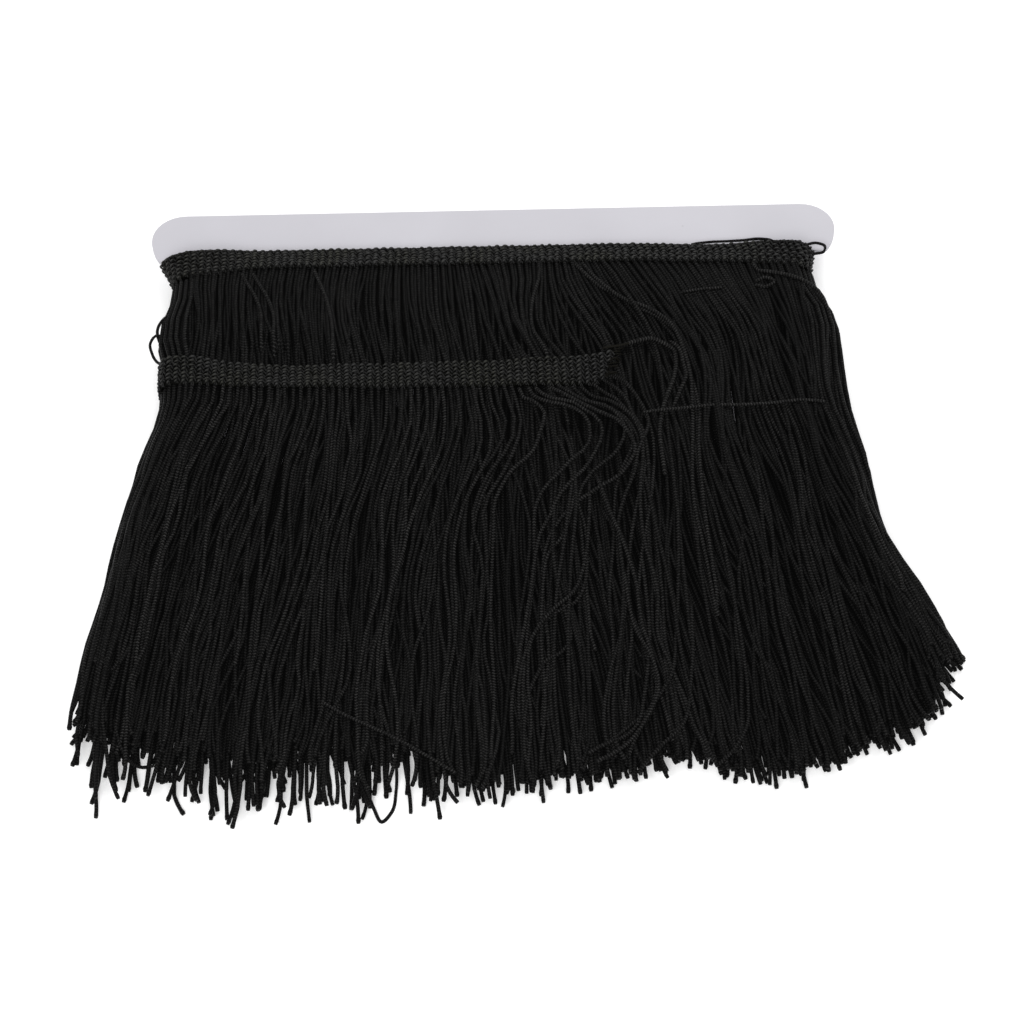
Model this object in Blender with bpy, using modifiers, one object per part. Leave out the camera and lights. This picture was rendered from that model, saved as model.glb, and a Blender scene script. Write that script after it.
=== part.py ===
"""Chainette fringe trim wound round a flat notched card, lying on its back.

The card is a flat outline with two round lobes at its top. The knitted heading of the inner turns is
one closed band round the card's neck, and its strands are two combs: one falls over the front and off
the card's lower edge, the other lies underneath. The last turn is a strip of its own. It crosses the
back, turns up round the left edge and stops in a cut end on the front, over a third comb of strands.

Constants and tables are in millimetres, and MM turns them into Blender's metres. X runs along the
card, Z is up, and a place across the card is given by its distance down from the card's top edge,
towards the tips. The left edge is the one at -X. The whole piece is centred over the origin at the end.
"""

import math
import random
from collections import namedtuple

import bmesh
import bpy
import numpy as np

MM = 0.001

# ---------- driving dimensions ----------
CARD_WIDTH = 305.0
CARD_HEIGHT = 125.0
CARD_THICKNESS = 3.0
NECK_WIDTH = 269.0
LOBE_LENGTH = 15.0
LOBE_RISE = 12.5
LOBE_FALL = 16.0
SHOULDER_DOWN = 24.6
SHOULDER_CORNER = 1.5
NOTCH_DOWN = 23.0
NOTCH_SLANT = 10.0
NECK_FILLET = 1.5
CARD_CORNER = 12.0
CARD_BEVEL = 0.5

HEADING_WIDTH = 13.5
HEADING_THICKNESS = 1.5
CLEAR = 0.4

BACK_STACK = 9.2
FRONT_STACK = 9.4
END_STACK = 8.8
FRONT_STACK_UPPER = 2.6
STACK_CHAMFER = 0.8
BEND_OUT = 1.0
WOUND_DOWN = 21.3
DROOP_LEFT = 5.5
DROOP_RIGHT = 4.3
DROOP_FROM = 118.0

TOOTH_LENGTH = 40.0
TOOTH_UNEVEN = 5.0
TOOTH_SHARE = 0.76
TOOTH_TAPER = 0.55
TOOTH_SHIFT = 0.14
TOOTH_LEAN = 2.5
EDGE_THICKNESS = 1.0
SIDE_ROUND = 0.48
OVER_EDGE = 13.0
FOLD_HEIGHT = 0.7
LAYER_CLEAR = 0.8
STRAND_CLEAR = 0.7
END_CLEAR = 1.0
END_THICKNESS = 2.5

# ---------- heights that follow from them ----------
BACK_TOP = 11.1
CARD_BOTTOM = BACK_TOP + CLEAR
CARD_TOP = CARD_BOTTOM + CARD_THICKNESS
CARD_MIDDLE = (CARD_BOTTOM + CARD_TOP) / 2
OVER_CARD = CARD_TOP + CLEAR
UNDER_HEADING = HEADING_THICKNESS + 0.5
FRONT_TOP = 26.5
END_HEADING_LOW = FRONT_TOP + END_CLEAR

# Both sides of the heap of strands, by distance down from the card's top edge.
Outline = namedtuple("Outline", "down left right")
OUTLINE = (
    Outline(34, -142.5, 141.5),
    Outline(44, -144.5, 146.0),
    Outline(56, -145.0, 149.5),
    Outline(70, -144.0, 151.0),
    Outline(80, -143.2, 151.5),
    Outline(96, -143.6, 152.0),
    Outline(112, -146.8, 153.8),
    Outline(126, -151.0, 157.6),
    Outline(140, -154.8, 162.0),
    Outline(157, -158.6, 165.8),
    Outline(176, -162.6, 173.0),
    Outline(195, -167.0, 183.5),
    Outline(213, -170.5, 192.0),
    Outline(230, -173.0, 197.0),
    Outline(250, -174.8, 199.0),
    Outline(280, -175.5, 200.0),
)

# The line of the tips, from the left side to the right.
Tips = namedtuple("Tips", "x down")
TIPS = (
    Tips(-175, 246),
    Tips(-165, 256),
    Tips(-140, 263),
    Tips(-110, 275),
    Tips(-73, 275),
    Tips(-48, 274),
    Tips(-12, 272),
    Tips(25, 267),
    Tips(60, 264),
    Tips(76, 258),
    Tips(93, 265),
    Tips(118, 265),
    Tips(143, 259),
    Tips(168, 248),
    Tips(183, 238),
    Tips(197, 221),
)

# Upper faces of the two wide combs: over the card by distance down, then by share of the fall to the
# foot of the teeth.
Heap = namedtuple("Heap", "key front back")
HEAP_OVER_CARD = (
    Heap(30, 24.0, BACK_TOP),
    Heap(50, 26.1, BACK_TOP),
    Heap(64, FRONT_TOP, BACK_TOP),
    Heap(112, FRONT_TOP, BACK_TOP),
    Heap(127, 25.4, BACK_TOP),
    Heap(140, 23.5, 10.3),
)
HEAP_BELOW_CARD = (
    Heap(0.0, 23.5, 10.3),
    Heap(0.25, 19.6, 8.8),
    Heap(0.5, 15.8, 7.3),
    Heap(0.75, 12.2, 6.0),
    Heap(1.0, 9.2, 4.8),
    Heap(1.5, 6.0, 3.4),
)
FALL_DOWN = 140.0

# The middle of the last turn's heading along the front, from the left turn to the cut end.
Course = namedtuple("Course", "x down")
END_COURSE = (
    Course(-132.2, 85.4),
    Course(-120, 86.6),
    Course(-110, 88.6),
    Course(-92, 90.8),
    Course(-75, 91.4),
    Course(-41, 91.4),
    Course(-5, 91.1),
    Course(23, 90.1),
    Course(41, 88.7),
    Course(51, 87.6),
)
BACK_COURSE = (Course(131, 31.0), Course(-132.2, 85.4))

# Right-hand side of the last turn's strands: they swing out past the cut end and back.
Swing = namedtuple("Swing", "down x")
END_SWING = (
    Swing(90, 49),
    Swing(104, 60),
    Swing(112, 65),
    Swing(127, 65.5),
    Swing(140, 61),
    Swing(165, 61),
    Swing(205, 68),
    Swing(250, 74),
    Swing(280, 76),
)

ROWS_OVER_CARD = (50, 64, 80, 98, 112, 127, 140)
ROWS_BELOW_CARD = (0.25, 0.5, 0.75, 1.0)
SIDE_STEPS = 3

BLACK_YARN = ((0.012, 0.012, 0.013, 1.0), 0.62)
BLACK_KNIT = ((0.017, 0.016, 0.014, 1.0), 0.7)
WHITE_CARD = ((0.78, 0.78, 0.81, 1.0), 0.55)


# ---------- reading the tables ----------
def read(table, key):
    """The table's row at this key, on a smooth curve through the rows, with the end rows held beyond them."""
    rows = np.array(table, float)
    keys = rows[:, 0]
    key = min(max(key, keys[0]), keys[-1])
    slopes = np.gradient(rows, keys, axis=0)
    after = min(max(int(np.searchsorted(keys, key)), 1), len(keys) - 1)
    before = after - 1
    step = keys[after] - keys[before]
    part = (key - keys[before]) / step
    hold = (1 + 2 * part) * (1 - part) ** 2
    row = hold * rows[before] + (1 - hold) * rows[after]
    row += part * (1 - part) ** 2 * step * slopes[before]
    row -= part**2 * (1 - part) * step * slopes[after]
    return type(table[0])(*row)


def ease(value):
    """0 below 0, 1 above 1, and a smooth step between."""
    value = min(max(value, 0.0), 1.0)
    return value * value * (3 - 2 * value)


# ---------- objects and materials ----------
def clear_scene():
    for old in list(bpy.data.objects):
        bpy.data.objects.remove(old)


def material(name, look):
    made = bpy.data.materials.new(name)
    made.use_nodes = True
    colour, roughness = look
    shader = made.node_tree.nodes["Principled BSDF"]
    shader.inputs["Base Color"].default_value = colour
    shader.inputs["Roughness"].default_value = roughness
    shader.inputs["Metallic"].default_value = 0.0
    return made


def add_object(name, data, look, parent):
    made = bpy.data.objects.new(name, data)
    bpy.data.collections["fringe_trim_on_card"].objects.link(made)
    made.parent = parent
    data.materials.append(look)
    return made


def mesh_from(bm, name):
    bmesh.ops.recalc_face_normals(bm, faces=bm.faces)
    mesh = bpy.data.meshes.new(name)
    bm.to_mesh(mesh)
    bm.free()
    mesh.shade_smooth()
    mesh.set_sharp_from_angle(angle=math.radians(40))
    return mesh


def point(x, down, z):
    return (x * MM, -down * MM, z * MM)


# ---------- the card ----------
def arc(centre, radii, start, stop, steps):
    """Points (x, down) on an elliptical arc, with angles in degrees counted from +X towards the top edge."""
    angles = [math.radians(start + (stop - start) * step / steps) for step in range(steps + 1)]
    return [
        (centre[0] + radii[0] * math.cos(angle), centre[1] - radii[1] * math.sin(angle))
        for angle in angles
    ]


def card_half_outline():
    """The card's right half, from the middle of its top edge round to the middle of its lower edge."""
    lobe_centre = (CARD_WIDTH / 2 - LOBE_LENGTH, LOBE_RISE)
    lobe_end = math.degrees(math.asin((SHOULDER_DOWN - LOBE_RISE) / LOBE_FALL))
    neck = NECK_WIDTH / 2
    outline = arc(lobe_centre, (LOBE_LENGTH, LOBE_RISE), 90, 0, 8)
    outline += arc(lobe_centre, (LOBE_LENGTH, LOBE_FALL), 0, -lobe_end + 8, 5)[1:]
    corner_x = lobe_centre[0] + LOBE_LENGTH * math.cos(math.radians(lobe_end)) - SHOULDER_CORNER
    corner = (corner_x, SHOULDER_DOWN - SHOULDER_CORNER)
    outline += arc(corner, (SHOULDER_CORNER, SHOULDER_CORNER), -40, -90 - NOTCH_SLANT, 3)
    notch = (neck + NECK_FILLET, NOTCH_DOWN + NECK_FILLET)
    outline += arc(notch, (NECK_FILLET, NECK_FILLET), 90 - NOTCH_SLANT, 180, 4)
    foot = (neck - CARD_CORNER, CARD_HEIGHT - CARD_CORNER)
    outline += arc(foot, (CARD_CORNER, CARD_CORNER), 0, -90, 6)
    return outline


def build_card(look, parent):
    right = card_half_outline()
    left = [(-x, down) for x, down in reversed(right)]
    corners = right + left
    curve = bpy.data.curves.new("card", "CURVE")
    curve.dimensions = "2D"
    curve.fill_mode = "BOTH"
    curve.extrude = CARD_THICKNESS / 2 * MM
    spline = curve.splines.new("POLY")
    spline.points.add(len(corners) - 1)
    for place, (x, down) in zip(spline.points, corners):
        place.co = (x * MM, -down * MM, 0, 1)
    spline.use_cyclic_u = True
    card = add_object("card", curve, look, parent)
    card.location.z = CARD_MIDDLE * MM
    weld = card.modifiers.new("weld", "WELD")
    weld.merge_threshold = 0.00001
    bevel = card.modifiers.new("edges", "BEVEL")
    bevel.width = CARD_BEVEL * MM
    bevel.segments = 2
    bevel.angle_limit = math.radians(50)
    return card


# ---------- the wound heading ----------
def droop(x):
    """How much lower the wound heading lies here than in the middle: it slips down towards both ends."""
    most = DROOP_LEFT if x < 0 else DROOP_RIGHT
    reach = NECK_WIDTH / 2 + 1.5 - DROOP_FROM
    return most * ease((abs(x) - DROOP_FROM) / reach)


def stack_section(facing):
    """How wide the stack is, and how far its upper and lower edges stand off the card.

    facing is 1 on the front, 0 at the ends and -1 on the back. On the front the turns lie over one
    another like tiles, so their face leans back towards the card's top edge.
    """
    lean = max(facing, 0.0)
    lower = END_STACK + lean * (FRONT_STACK - END_STACK) + max(-facing, 0.0) * (BACK_STACK - END_STACK)
    upper = lower + lean * (FRONT_STACK_UPPER - FRONT_STACK)
    width = math.sqrt(HEADING_WIDTH**2 - (lower - upper) ** 2)
    return width, upper, lower


def wound_low(x, facing):
    """Distance down to the lower edge of the wound heading."""
    return WOUND_DOWN + droop(x) + stack_section(facing)[0]


def loop_stations():
    """Stations round the card's neck: x, z on the innermost turn, and the angle that this turn faces."""
    inner = CARD_THICKNESS / 2 + CLEAR
    bend = NECK_WIDTH / 2 + CLEAR - inner + BEND_OUT
    turn = 8
    crossing = [-bend, -129, -125, -121, -117, -80, -40, 0, 40, 80, 117, 121, 125, 129]
    for x in crossing:
        yield x, CARD_MIDDLE + inner, 0.0
    for step in range(turn):
        angle = math.pi * step / turn
        yield bend + inner * math.sin(angle), CARD_MIDDLE + inner * math.cos(angle), angle
    for x in crossing:
        yield -x, CARD_MIDDLE - inner, math.pi
    for step in range(turn):
        angle = math.pi + math.pi * step / turn
        yield -bend + inner * math.sin(angle), CARD_MIDDLE + inner * math.cos(angle), angle


def build_wound_heading(look, parent):
    bm = bmesh.new()
    rings = []
    for x, z, angle in loop_stations():
        facing = math.cos(angle)
        width, upper, lower = stack_section(facing)
        top = WOUND_DOWN + droop(x)
        section = (
            (0, 0),
            (0, upper - STACK_CHAMFER),
            (STACK_CHAMFER, upper),
            (width - STACK_CHAMFER, lower),
            (width, lower - STACK_CHAMFER),
            (width, 0),
        )
        ring = [
            bm.verts.new(point(x + lift * math.sin(angle), top + across, z + lift * facing))
            for across, lift in section
        ]
        rings.append(ring)
    for ring, after in zip(rings, rings[1:] + rings[:1]):
        for side in range(len(ring)):
            following = (side + 1) % len(ring)
            bm.faces.new((ring[side], ring[following], after[following], after[side]))
    return add_object("wound_heading", mesh_from(bm, "wound_heading"), look, parent)


# ---------- the last turn's heading ----------
def end_low(x):
    """Distance down to the lower edge of the last turn's heading on the front."""
    return read(END_COURSE, x).down + HEADING_WIDTH / 2


def back_low(x):
    """Distance down to the lower edge of the last turn's heading on the back."""
    first, last = BACK_COURSE
    share = (x - first.x) / (last.x - first.x)
    return first.down + (last.down - first.down) * share + HEADING_WIDTH / 2


def end_heading_stations():
    """Stations along the strip: x, z on its inner face, distance down, width, and the angle that it faces."""
    inner = (END_HEADING_LOW - HEADING_THICKNESS) / 2
    middle = HEADING_THICKNESS + inner
    turn_x = END_COURSE[0].x
    turn_down = END_COURSE[0].down
    for narrower, back in ((2.4, 0.0), (0.6, 0.8), (0.0, 2.0)):
        end = END_COURSE[-1]
        yield end.x - back, END_HEADING_LOW, end.down, HEADING_WIDTH - narrower, 0.0
    for place in reversed(END_COURSE[1:-1]):
        yield place.x, END_HEADING_LOW, place.down, HEADING_WIDTH, 0.0
    turn = 10
    for step in range(turn + 1):
        angle = -math.pi * step / turn
        x = turn_x + inner * math.sin(angle)
        yield x, middle + inner * math.cos(angle), turn_down, HEADING_WIDTH, angle
    first, last = BACK_COURSE
    crossing = 8
    for step in range(crossing - 1, -1, -1):
        share = step / crossing
        x = first.x + (last.x - first.x) * share
        down = first.down + (last.down - first.down) * share
        yield x, HEADING_THICKNESS, down, HEADING_WIDTH, -math.pi


def build_end_heading(look, parent):
    bm = bmesh.new()
    rings = []
    for x, z, down, width, angle in end_heading_stations():
        out = (math.sin(angle), math.cos(angle))
        rings.append(
            [
                bm.verts.new(point(x + out[0] * lift, down + side * width / 2, z + out[1] * lift))
                for side, lift in ((-1, 0), (-1, HEADING_THICKNESS), (1, HEADING_THICKNESS), (1, 0))
            ]
        )
    for ring, after in zip(rings, rings[1:]):
        for side in range(4):
            following = (side + 1) % 4
            bm.faces.new((ring[side], ring[following], after[following], after[side]))
    bm.faces.new(rings[0])
    bm.faces.new(rings[-1])
    return add_object("end_heading", mesh_from(bm, "end_heading"), look, parent)


# ---------- the heap of strands ----------
# A column number tells a place across the heap: -1 to 0 rolls up over the left side, 0 to 1 runs
# across, and 1 to 2 rolls down over the right side.
Across = namedtuple("Across", "x rise out_x out_z")


def heap_heights(down, below):
    """Upper faces of the front and back combs. below is None over the card, then the share of the fall."""
    return read(HEAP_OVER_CARD, down) if below is None else read(HEAP_BELOW_CARD, below)


def across_heap(column, down, front, right=None):
    """The place of this column at this distance down: x, share of the full height, and which way is out."""
    sides = read(OUTLINE, down)
    reach = SIDE_ROUND * front
    left_inner = sides.left + reach
    right_inner = (sides.right - reach) if right is None else right
    if column < 0:
        angle = (1 + column) * math.pi / 2
        out, rise = math.cos(angle), math.sin(angle)
        return Across(left_inner - reach * out, rise, -out, rise)
    if column > 1:
        angle = (2 - column) * math.pi / 2
        out, rise = math.cos(angle), math.sin(angle)
        return Across(right_inner + reach * out, rise, out, rise)
    return Across(left_inner + (right_inner - left_inner) * column, 1.0, 0.0, 1.0)


def folds(x, down, below):
    """The long soft folds of the strands: they start at the card's lower edge and run to the tips."""
    if below is None:
        return 0.0
    sides = read(OUTLINE, down)
    share = (x - sides.left) / (sides.right - sides.left)
    wide = math.sin(2 * math.pi * (4 * share + 0.1))
    narrow = math.sin(2 * math.pi * (7 * share + 0.4))
    return FOLD_HEIGHT * (0.6 * wide + 0.4 * narrow) * ease(below / 0.25) * (1 - 0.6 * ease(below - 0.5))


def front_bottom(x, down, below):
    """Underside of the front comb: it stays above the card until it is well past the card's edges."""
    over_card = below is None and down < CARD_HEIGHT + 3 and abs(x) < NECK_WIDTH / 2 + OVER_EDGE
    return OVER_CARD if over_card else heap_heights(down, below).back + LAYER_CLEAR


def front_faces(column, down, below):
    """Lower and upper points of the front comb."""
    heights = heap_heights(down, below)
    place = across_heap(column, down, heights.front)
    fold = folds(place.x, down, below) * place.rise
    low = front_bottom(place.x, down, below) + fold
    high = low + EDGE_THICKNESS + (heights.front + fold - low - EDGE_THICKNESS) * place.rise
    return point(place.x, down, low), point(place.x, down, high)


def back_faces(column, down, below):
    """Lower and upper points of the back comb. It passes over the last turn's heading, then lies flat."""
    heights = heap_heights(down, below)
    place = across_heap(column, down, heights.front)
    settle = 18.5
    floor = UNDER_HEADING if down < back_low(place.x) + settle else 0.0
    high = heights.back + folds(place.x, down, below) * place.rise
    low = floor + (high - EDGE_THICKNESS - floor) * math.sqrt(1 - place.rise)
    return point(place.x, down, low), point(place.x, down, high)


def end_faces(column, down, below):
    """Lower and upper points of the last turn's comb: a layer on the front comb, rolled over its side."""
    heights = heap_heights(down, below)
    place = across_heap(column, down, heights.front, read(END_SWING, down).x)
    fold = folds(place.x, down, below) * place.rise
    low = front_bottom(place.x, down, below) + fold
    high = low + EDGE_THICKNESS + (heights.front + fold - low - EDGE_THICKNESS) * place.rise
    near, far = END_CLEAR, END_CLEAR + END_THICKNESS
    return (
        point(place.x + place.out_x * near, down, high + place.out_z * near),
        point(place.x + place.out_x * far, down, high + place.out_z * far),
    )


def front_start(x):
    return wound_low(x, 1.0 - ease((abs(x) - DROOP_FROM) / 16)) + STRAND_CLEAR


def back_start(x):
    return wound_low(x, -1.0) + STRAND_CLEAR


def end_start(x):
    return end_low(x) + STRAND_CLEAR


def tooth_columns(teeth, last_column, dice):
    """The column numbers on both sides of each tooth. The sides' rolls belong to the first and last teeth."""
    pitch = 1 / teeth
    half_gap = pitch * (1 - TOOTH_SHARE) / 2
    gaps = [(tooth + dice.uniform(-TOOTH_SHIFT, TOOTH_SHIFT)) * pitch for tooth in range(1, teeth)]
    starts = [0] + [gap + half_gap for gap in gaps]
    stops = [gap - half_gap for gap in gaps] + [1]
    groups = [[start, stop] for start, stop in zip(starts, stops)]
    groups[0] = [-1 + step / SIDE_STEPS for step in range(SIDE_STEPS)] + groups[0]
    if last_column > 1:
        groups[-1] += [1 + (step + 1) / SIDE_STEPS for step in range(SIDE_STEPS)]
    return groups


def build_comb(name, faces, start, teeth, last_column, shorter, seed, look, parent):
    """One comb: rows of cells from the heading to the foot of the teeth, then a tapering strip per tooth."""
    dice = random.Random(seed)
    groups = tooth_columns(teeth, last_column, dice)
    columns = [column for group in groups for column in group]
    bm = bmesh.new()
    number = bm.verts.layers.int.new("number")
    lows = []

    def corner(column, down, below, middle=0.0, taper=1.0, lean=0.0):
        pair = [(middle + (x - middle) * taper + lean, y, z) for x, y, z in faces(column, down, below)]
        made = bm.verts.new(pair[1])
        made[number] = len(lows)
        lows.append(pair[0])
        return made

    def x_of(column, down, front):
        right = None if last_column > 1 else read(END_SWING, down).x
        return across_heap(column, down, front, right).x

    def teeth_foot(column):
        tip_x = x_of(column, 250, HEAP_BELOW_CARD[-1].front)
        return read(TIPS, tip_x).down - TOOTH_LENGTH - shorter(tip_x)

    def start_corner(column):
        down = start(0)
        for _ in range(4):
            down = start(x_of(column, down, heap_heights(down, None).front))
        return corner(column, down, None)

    first_down = max(start(0), start(-NECK_WIDTH / 2))
    rows = [[start_corner(column) for column in columns]]
    for down in ROWS_OVER_CARD:
        if down > first_down + 6:
            rows.append([corner(column, down, None) for column in columns])
    for below in ROWS_BELOW_CARD:
        rows.append(
            [
                corner(column, FALL_DOWN + below * (teeth_foot(column) - FALL_DOWN), below)
                for column in columns
            ]
        )
    for row, after in zip(rows, rows[1:]):
        for cell in range(len(columns) - 1):
            bm.faces.new((row[cell], row[cell + 1], after[cell + 1], after[cell]))

    foot = dict(zip(columns, rows[-1]))
    for group in groups:
        length = TOOTH_LENGTH + dice.uniform(-TOOTH_UNEVEN, TOOTH_UNEVEN)
        lean = dice.uniform(-TOOTH_LEAN, TOOTH_LEAN) * MM
        upper = [foot[column] for column in group]
        for reach, taper in ((0.55, 0.9), (1.0, TOOTH_TAPER)):
            places = [(teeth_foot(column) + length * reach, 1 + reach / 2) for column in group]
            ends = [faces(group[end], *places[end])[1][0] for end in (0, -1)]
            middle = sum(ends) / 2
            leaned = lean * reach**2
            lower = [corner(column, *place, middle, taper, leaned) for column, place in zip(group, places)]
            for cell in range(len(group) - 1):
                bm.faces.new((upper[cell], upper[cell + 1], lower[cell + 1], lower[cell]))
            upper = lower

    sheet = list(bm.faces)
    copied = bmesh.ops.extrude_face_region(bm, geom=sheet)
    for piece in copied["geom"]:
        if isinstance(piece, bmesh.types.BMVert):
            piece.co = lows[piece[number]]
    return add_object(name, mesh_from(bm, name), look, parent)


# ---------- the whole piece ----------
def centre_over_origin(root, pieces):
    """Moves the parent empty so that the whole piece stands on Z 0 with its box centred over the origin."""
    bpy.context.view_layer.update()
    graph = bpy.context.evaluated_depsgraph_get()
    places = []
    for piece in pieces:
        evaluated = piece.evaluated_get(graph)
        mesh = evaluated.to_mesh()
        places += [evaluated.matrix_world @ vertex.co for vertex in mesh.vertices]
        evaluated.to_mesh_clear()
    places = np.array(places)
    low, high = places.min(axis=0), places.max(axis=0)
    root.location = (-(low[0] + high[0]) / 2, -(low[1] + high[1]) / 2, -low[2])


def main():
    clear_scene()
    collection = bpy.data.collections.new("fringe_trim_on_card")
    bpy.context.scene.collection.children.link(collection)
    root = bpy.data.objects.new("fringe_trim_root", None)
    collection.objects.link(root)

    yarn = material("black_strand_yarn", BLACK_YARN)
    knit = material("black_knitted_heading", BLACK_KNIT)
    board = material("white_card", WHITE_CARD)

    def front_shorter(x):
        return 7.0 * (1 - ease((x - 60) / 20))

    def back_shorter(x):
        return 4.0

    def end_shorter(x):
        return 0.0

    pieces = [
        build_card(board, root),
        build_wound_heading(knit, root),
        build_end_heading(knit, root),
        build_comb("front_fringe", front_faces, front_start, 26, 2, front_shorter, 3, yarn, root),
        build_comb("back_fringe", back_faces, back_start, 22, 2, back_shorter, 5, yarn, root),
        build_comb("end_fringe", end_faces, end_start, 16, 1, end_shorter, 8, yarn, root),
    ]
    centre_over_origin(root, pieces)


main()
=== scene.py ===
# %% [markdown]
# # A chainette fringe trim, wound on its card
#
# The piece is a length of black fringe as a haberdasher sells it. A narrow knitted heading carries one
# cut strand of chainette yarn every few millimetres, and the whole length is wound round a flat white
# card with notched ends. It lies on its back on a pale table, with the strands fanned out towards us,
# and the last turn of the heading comes round the left edge lower down and stops in a cut end.
#
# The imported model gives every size. It is loaded first, and its box is kept so that the finished piece
# can be compared with it at the end.

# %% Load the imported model
import math

import bmesh
import bpy
import numpy as np
from mathutils import Matrix, Vector


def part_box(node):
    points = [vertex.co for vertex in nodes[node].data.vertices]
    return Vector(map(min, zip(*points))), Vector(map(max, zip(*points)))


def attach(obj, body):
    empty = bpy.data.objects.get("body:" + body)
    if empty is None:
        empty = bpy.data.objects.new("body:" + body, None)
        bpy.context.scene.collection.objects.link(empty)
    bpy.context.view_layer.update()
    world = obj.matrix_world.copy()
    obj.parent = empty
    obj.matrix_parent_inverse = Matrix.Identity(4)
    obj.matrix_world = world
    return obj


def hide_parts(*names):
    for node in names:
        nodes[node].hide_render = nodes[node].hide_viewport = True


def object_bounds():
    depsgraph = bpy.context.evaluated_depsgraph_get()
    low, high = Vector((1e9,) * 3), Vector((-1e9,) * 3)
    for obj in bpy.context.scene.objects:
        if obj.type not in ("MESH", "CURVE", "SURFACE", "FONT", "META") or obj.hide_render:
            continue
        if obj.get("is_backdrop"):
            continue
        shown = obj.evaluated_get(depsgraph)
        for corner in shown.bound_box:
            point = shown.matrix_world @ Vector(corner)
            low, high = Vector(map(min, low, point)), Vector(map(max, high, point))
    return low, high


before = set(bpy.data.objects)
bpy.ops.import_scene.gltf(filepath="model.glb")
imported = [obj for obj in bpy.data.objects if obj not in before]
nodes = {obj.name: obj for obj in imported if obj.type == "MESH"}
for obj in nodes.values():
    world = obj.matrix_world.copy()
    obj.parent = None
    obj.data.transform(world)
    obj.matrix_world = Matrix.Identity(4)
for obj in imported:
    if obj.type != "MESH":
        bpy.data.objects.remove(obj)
cad_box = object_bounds()

# %% [markdown]
# ## One way to give a place
#
# A trimming is measured from its card: so far along from the card's middle, so far down from the card's
# top edge, so high above the table. All tables below are in those millimetres. The card's own box says
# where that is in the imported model, so nothing has to be fitted by eye.

# %% From the maker's millimetres to metres in the model's frame
MM = 0.001
card_low, card_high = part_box("card")
CARD_X = (card_low.x + card_high.x) / 2
CARD_Y = card_high.y
CARD_UNDER = card_low.z / MM
CARD_TOP = card_high.z / MM


def at(x, down, z):
    """Places in metres, for single numbers or whole arrays of millimetres."""
    x, down, z = np.broadcast_arrays(x, down, z)
    return np.stack([CARD_X + x * MM, CARD_Y - down * MM, z * MM], axis=-1)


print(f"card: {(card_high - card_low).x / MM:.0f} mm long, its top at z {CARD_TOP:.1f} mm")

# %% [markdown]
# ## The camera
#
# The view looks down steeply from the strands' side, turned by about a degree. A long lens from 1.2 m
# keeps the heading's lines nearly parallel. The camera is one matrix: stand back from a target along a
# direction, look along it, then roll.

# %% Camera
ELEVATION, ROLL = 64.0, -1.18  # degrees
DISTANCE, LENS = 1.2, 98.8  # metres from the trim, and the lens in millimetres


def placed(name, data):
    """An object with this data in the scene, at the origin."""
    made = bpy.data.objects.new(name, data)
    bpy.context.scene.collection.objects.link(made)
    return made


aim = Vector(at(5.9, 148.7, 10.0))
back = Vector((0, -math.cos(math.radians(ELEVATION)), math.sin(math.radians(ELEVATION))))
camera = placed("camera", bpy.data.cameras.new("camera"))
camera.data.lens = LENS
camera.data.sensor_width = 36.0
camera.matrix_world = (
    Matrix.Translation(aim + back * DISTANCE)
    @ (-back).to_track_quat("-Z", "Y").to_matrix().to_4x4()
    @ Matrix.Rotation(math.radians(ROLL), 4, "Z")
)
bpy.context.scene.camera = camera
print(f"camera {DISTANCE} m from the trim, {ELEVATION} degrees up")

# %% [markdown]
# ## The table and the light
#
# Black yarn shows only by what it mirrors, so the lamps matter more than its colour. One broad lamp
# stands over the strands and one behind the card, both large, so that every stitch catches a soft
# highlight and the floor stays even. The world is a dim grey that keeps the shadows open.

# %% Floor, lamps and world
WHITE = (1, 1, 1, 1)


def new_look(name, rough, gloss, glow=0.0):
    """A material: how rough it is, how much it mirrors, and how much light of its own it adds."""
    look = bpy.data.materials.new(name)
    look.use_nodes = True
    shader = look.node_tree.nodes["Principled BSDF"]
    shader.inputs["Roughness"].default_value = rough
    shader.inputs["Specular IOR Level"].default_value = gloss
    shader.inputs["Emission Color"].default_value = WHITE
    shader.inputs["Emission Strength"].default_value = glow
    return look, look.node_tree, shader


def lamp(name, place, width, watts):
    """A square soft lamp that looks at the middle of the trim."""
    light = bpy.data.lights.new(name, "AREA")
    light.size = width
    light.energy = watts
    place = Vector(place)
    turn = (-place).to_track_quat("-Z", "Y").to_matrix().to_4x4()
    placed(name, light).matrix_world = Matrix.Translation(place) @ turn
    print(f"lamp {name}: {watts} W, {width} m wide, {place.length:.1f} m away")


floor_mesh = bpy.data.meshes.new("floor")
floor_mesh.from_pydata([(-3, -3, 0), (3, -3, 0), (3, 3, 0), (-3, 3, 0)], [], [(0, 1, 2, 3)])
floor_look, _, floor_shader = new_look("pale_table", 0.9, 0.1, 0.25)
floor_shader.inputs["Base Color"].default_value = (0.9, 0.9, 0.9, 1)
floor_mesh.materials.append(floor_look)
floor = placed("floor", floor_mesh)
floor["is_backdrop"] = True
lamp("over_the_strands", (-0.35, -1.0, 1.5), 1.1, 16.8)
lamp("behind_the_card", (0.5, 1.1, 1.5), 1.2, 14.6)
world = bpy.data.worlds.new("studio")
world.use_nodes = True
world.node_tree.nodes["Background"].inputs["Color"].default_value = WHITE
world.node_tree.nodes["Background"].inputs["Strength"].default_value = 0.68
bpy.context.scene.world = world
bpy.context.scene.view_settings.view_transform = "Standard"

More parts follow.
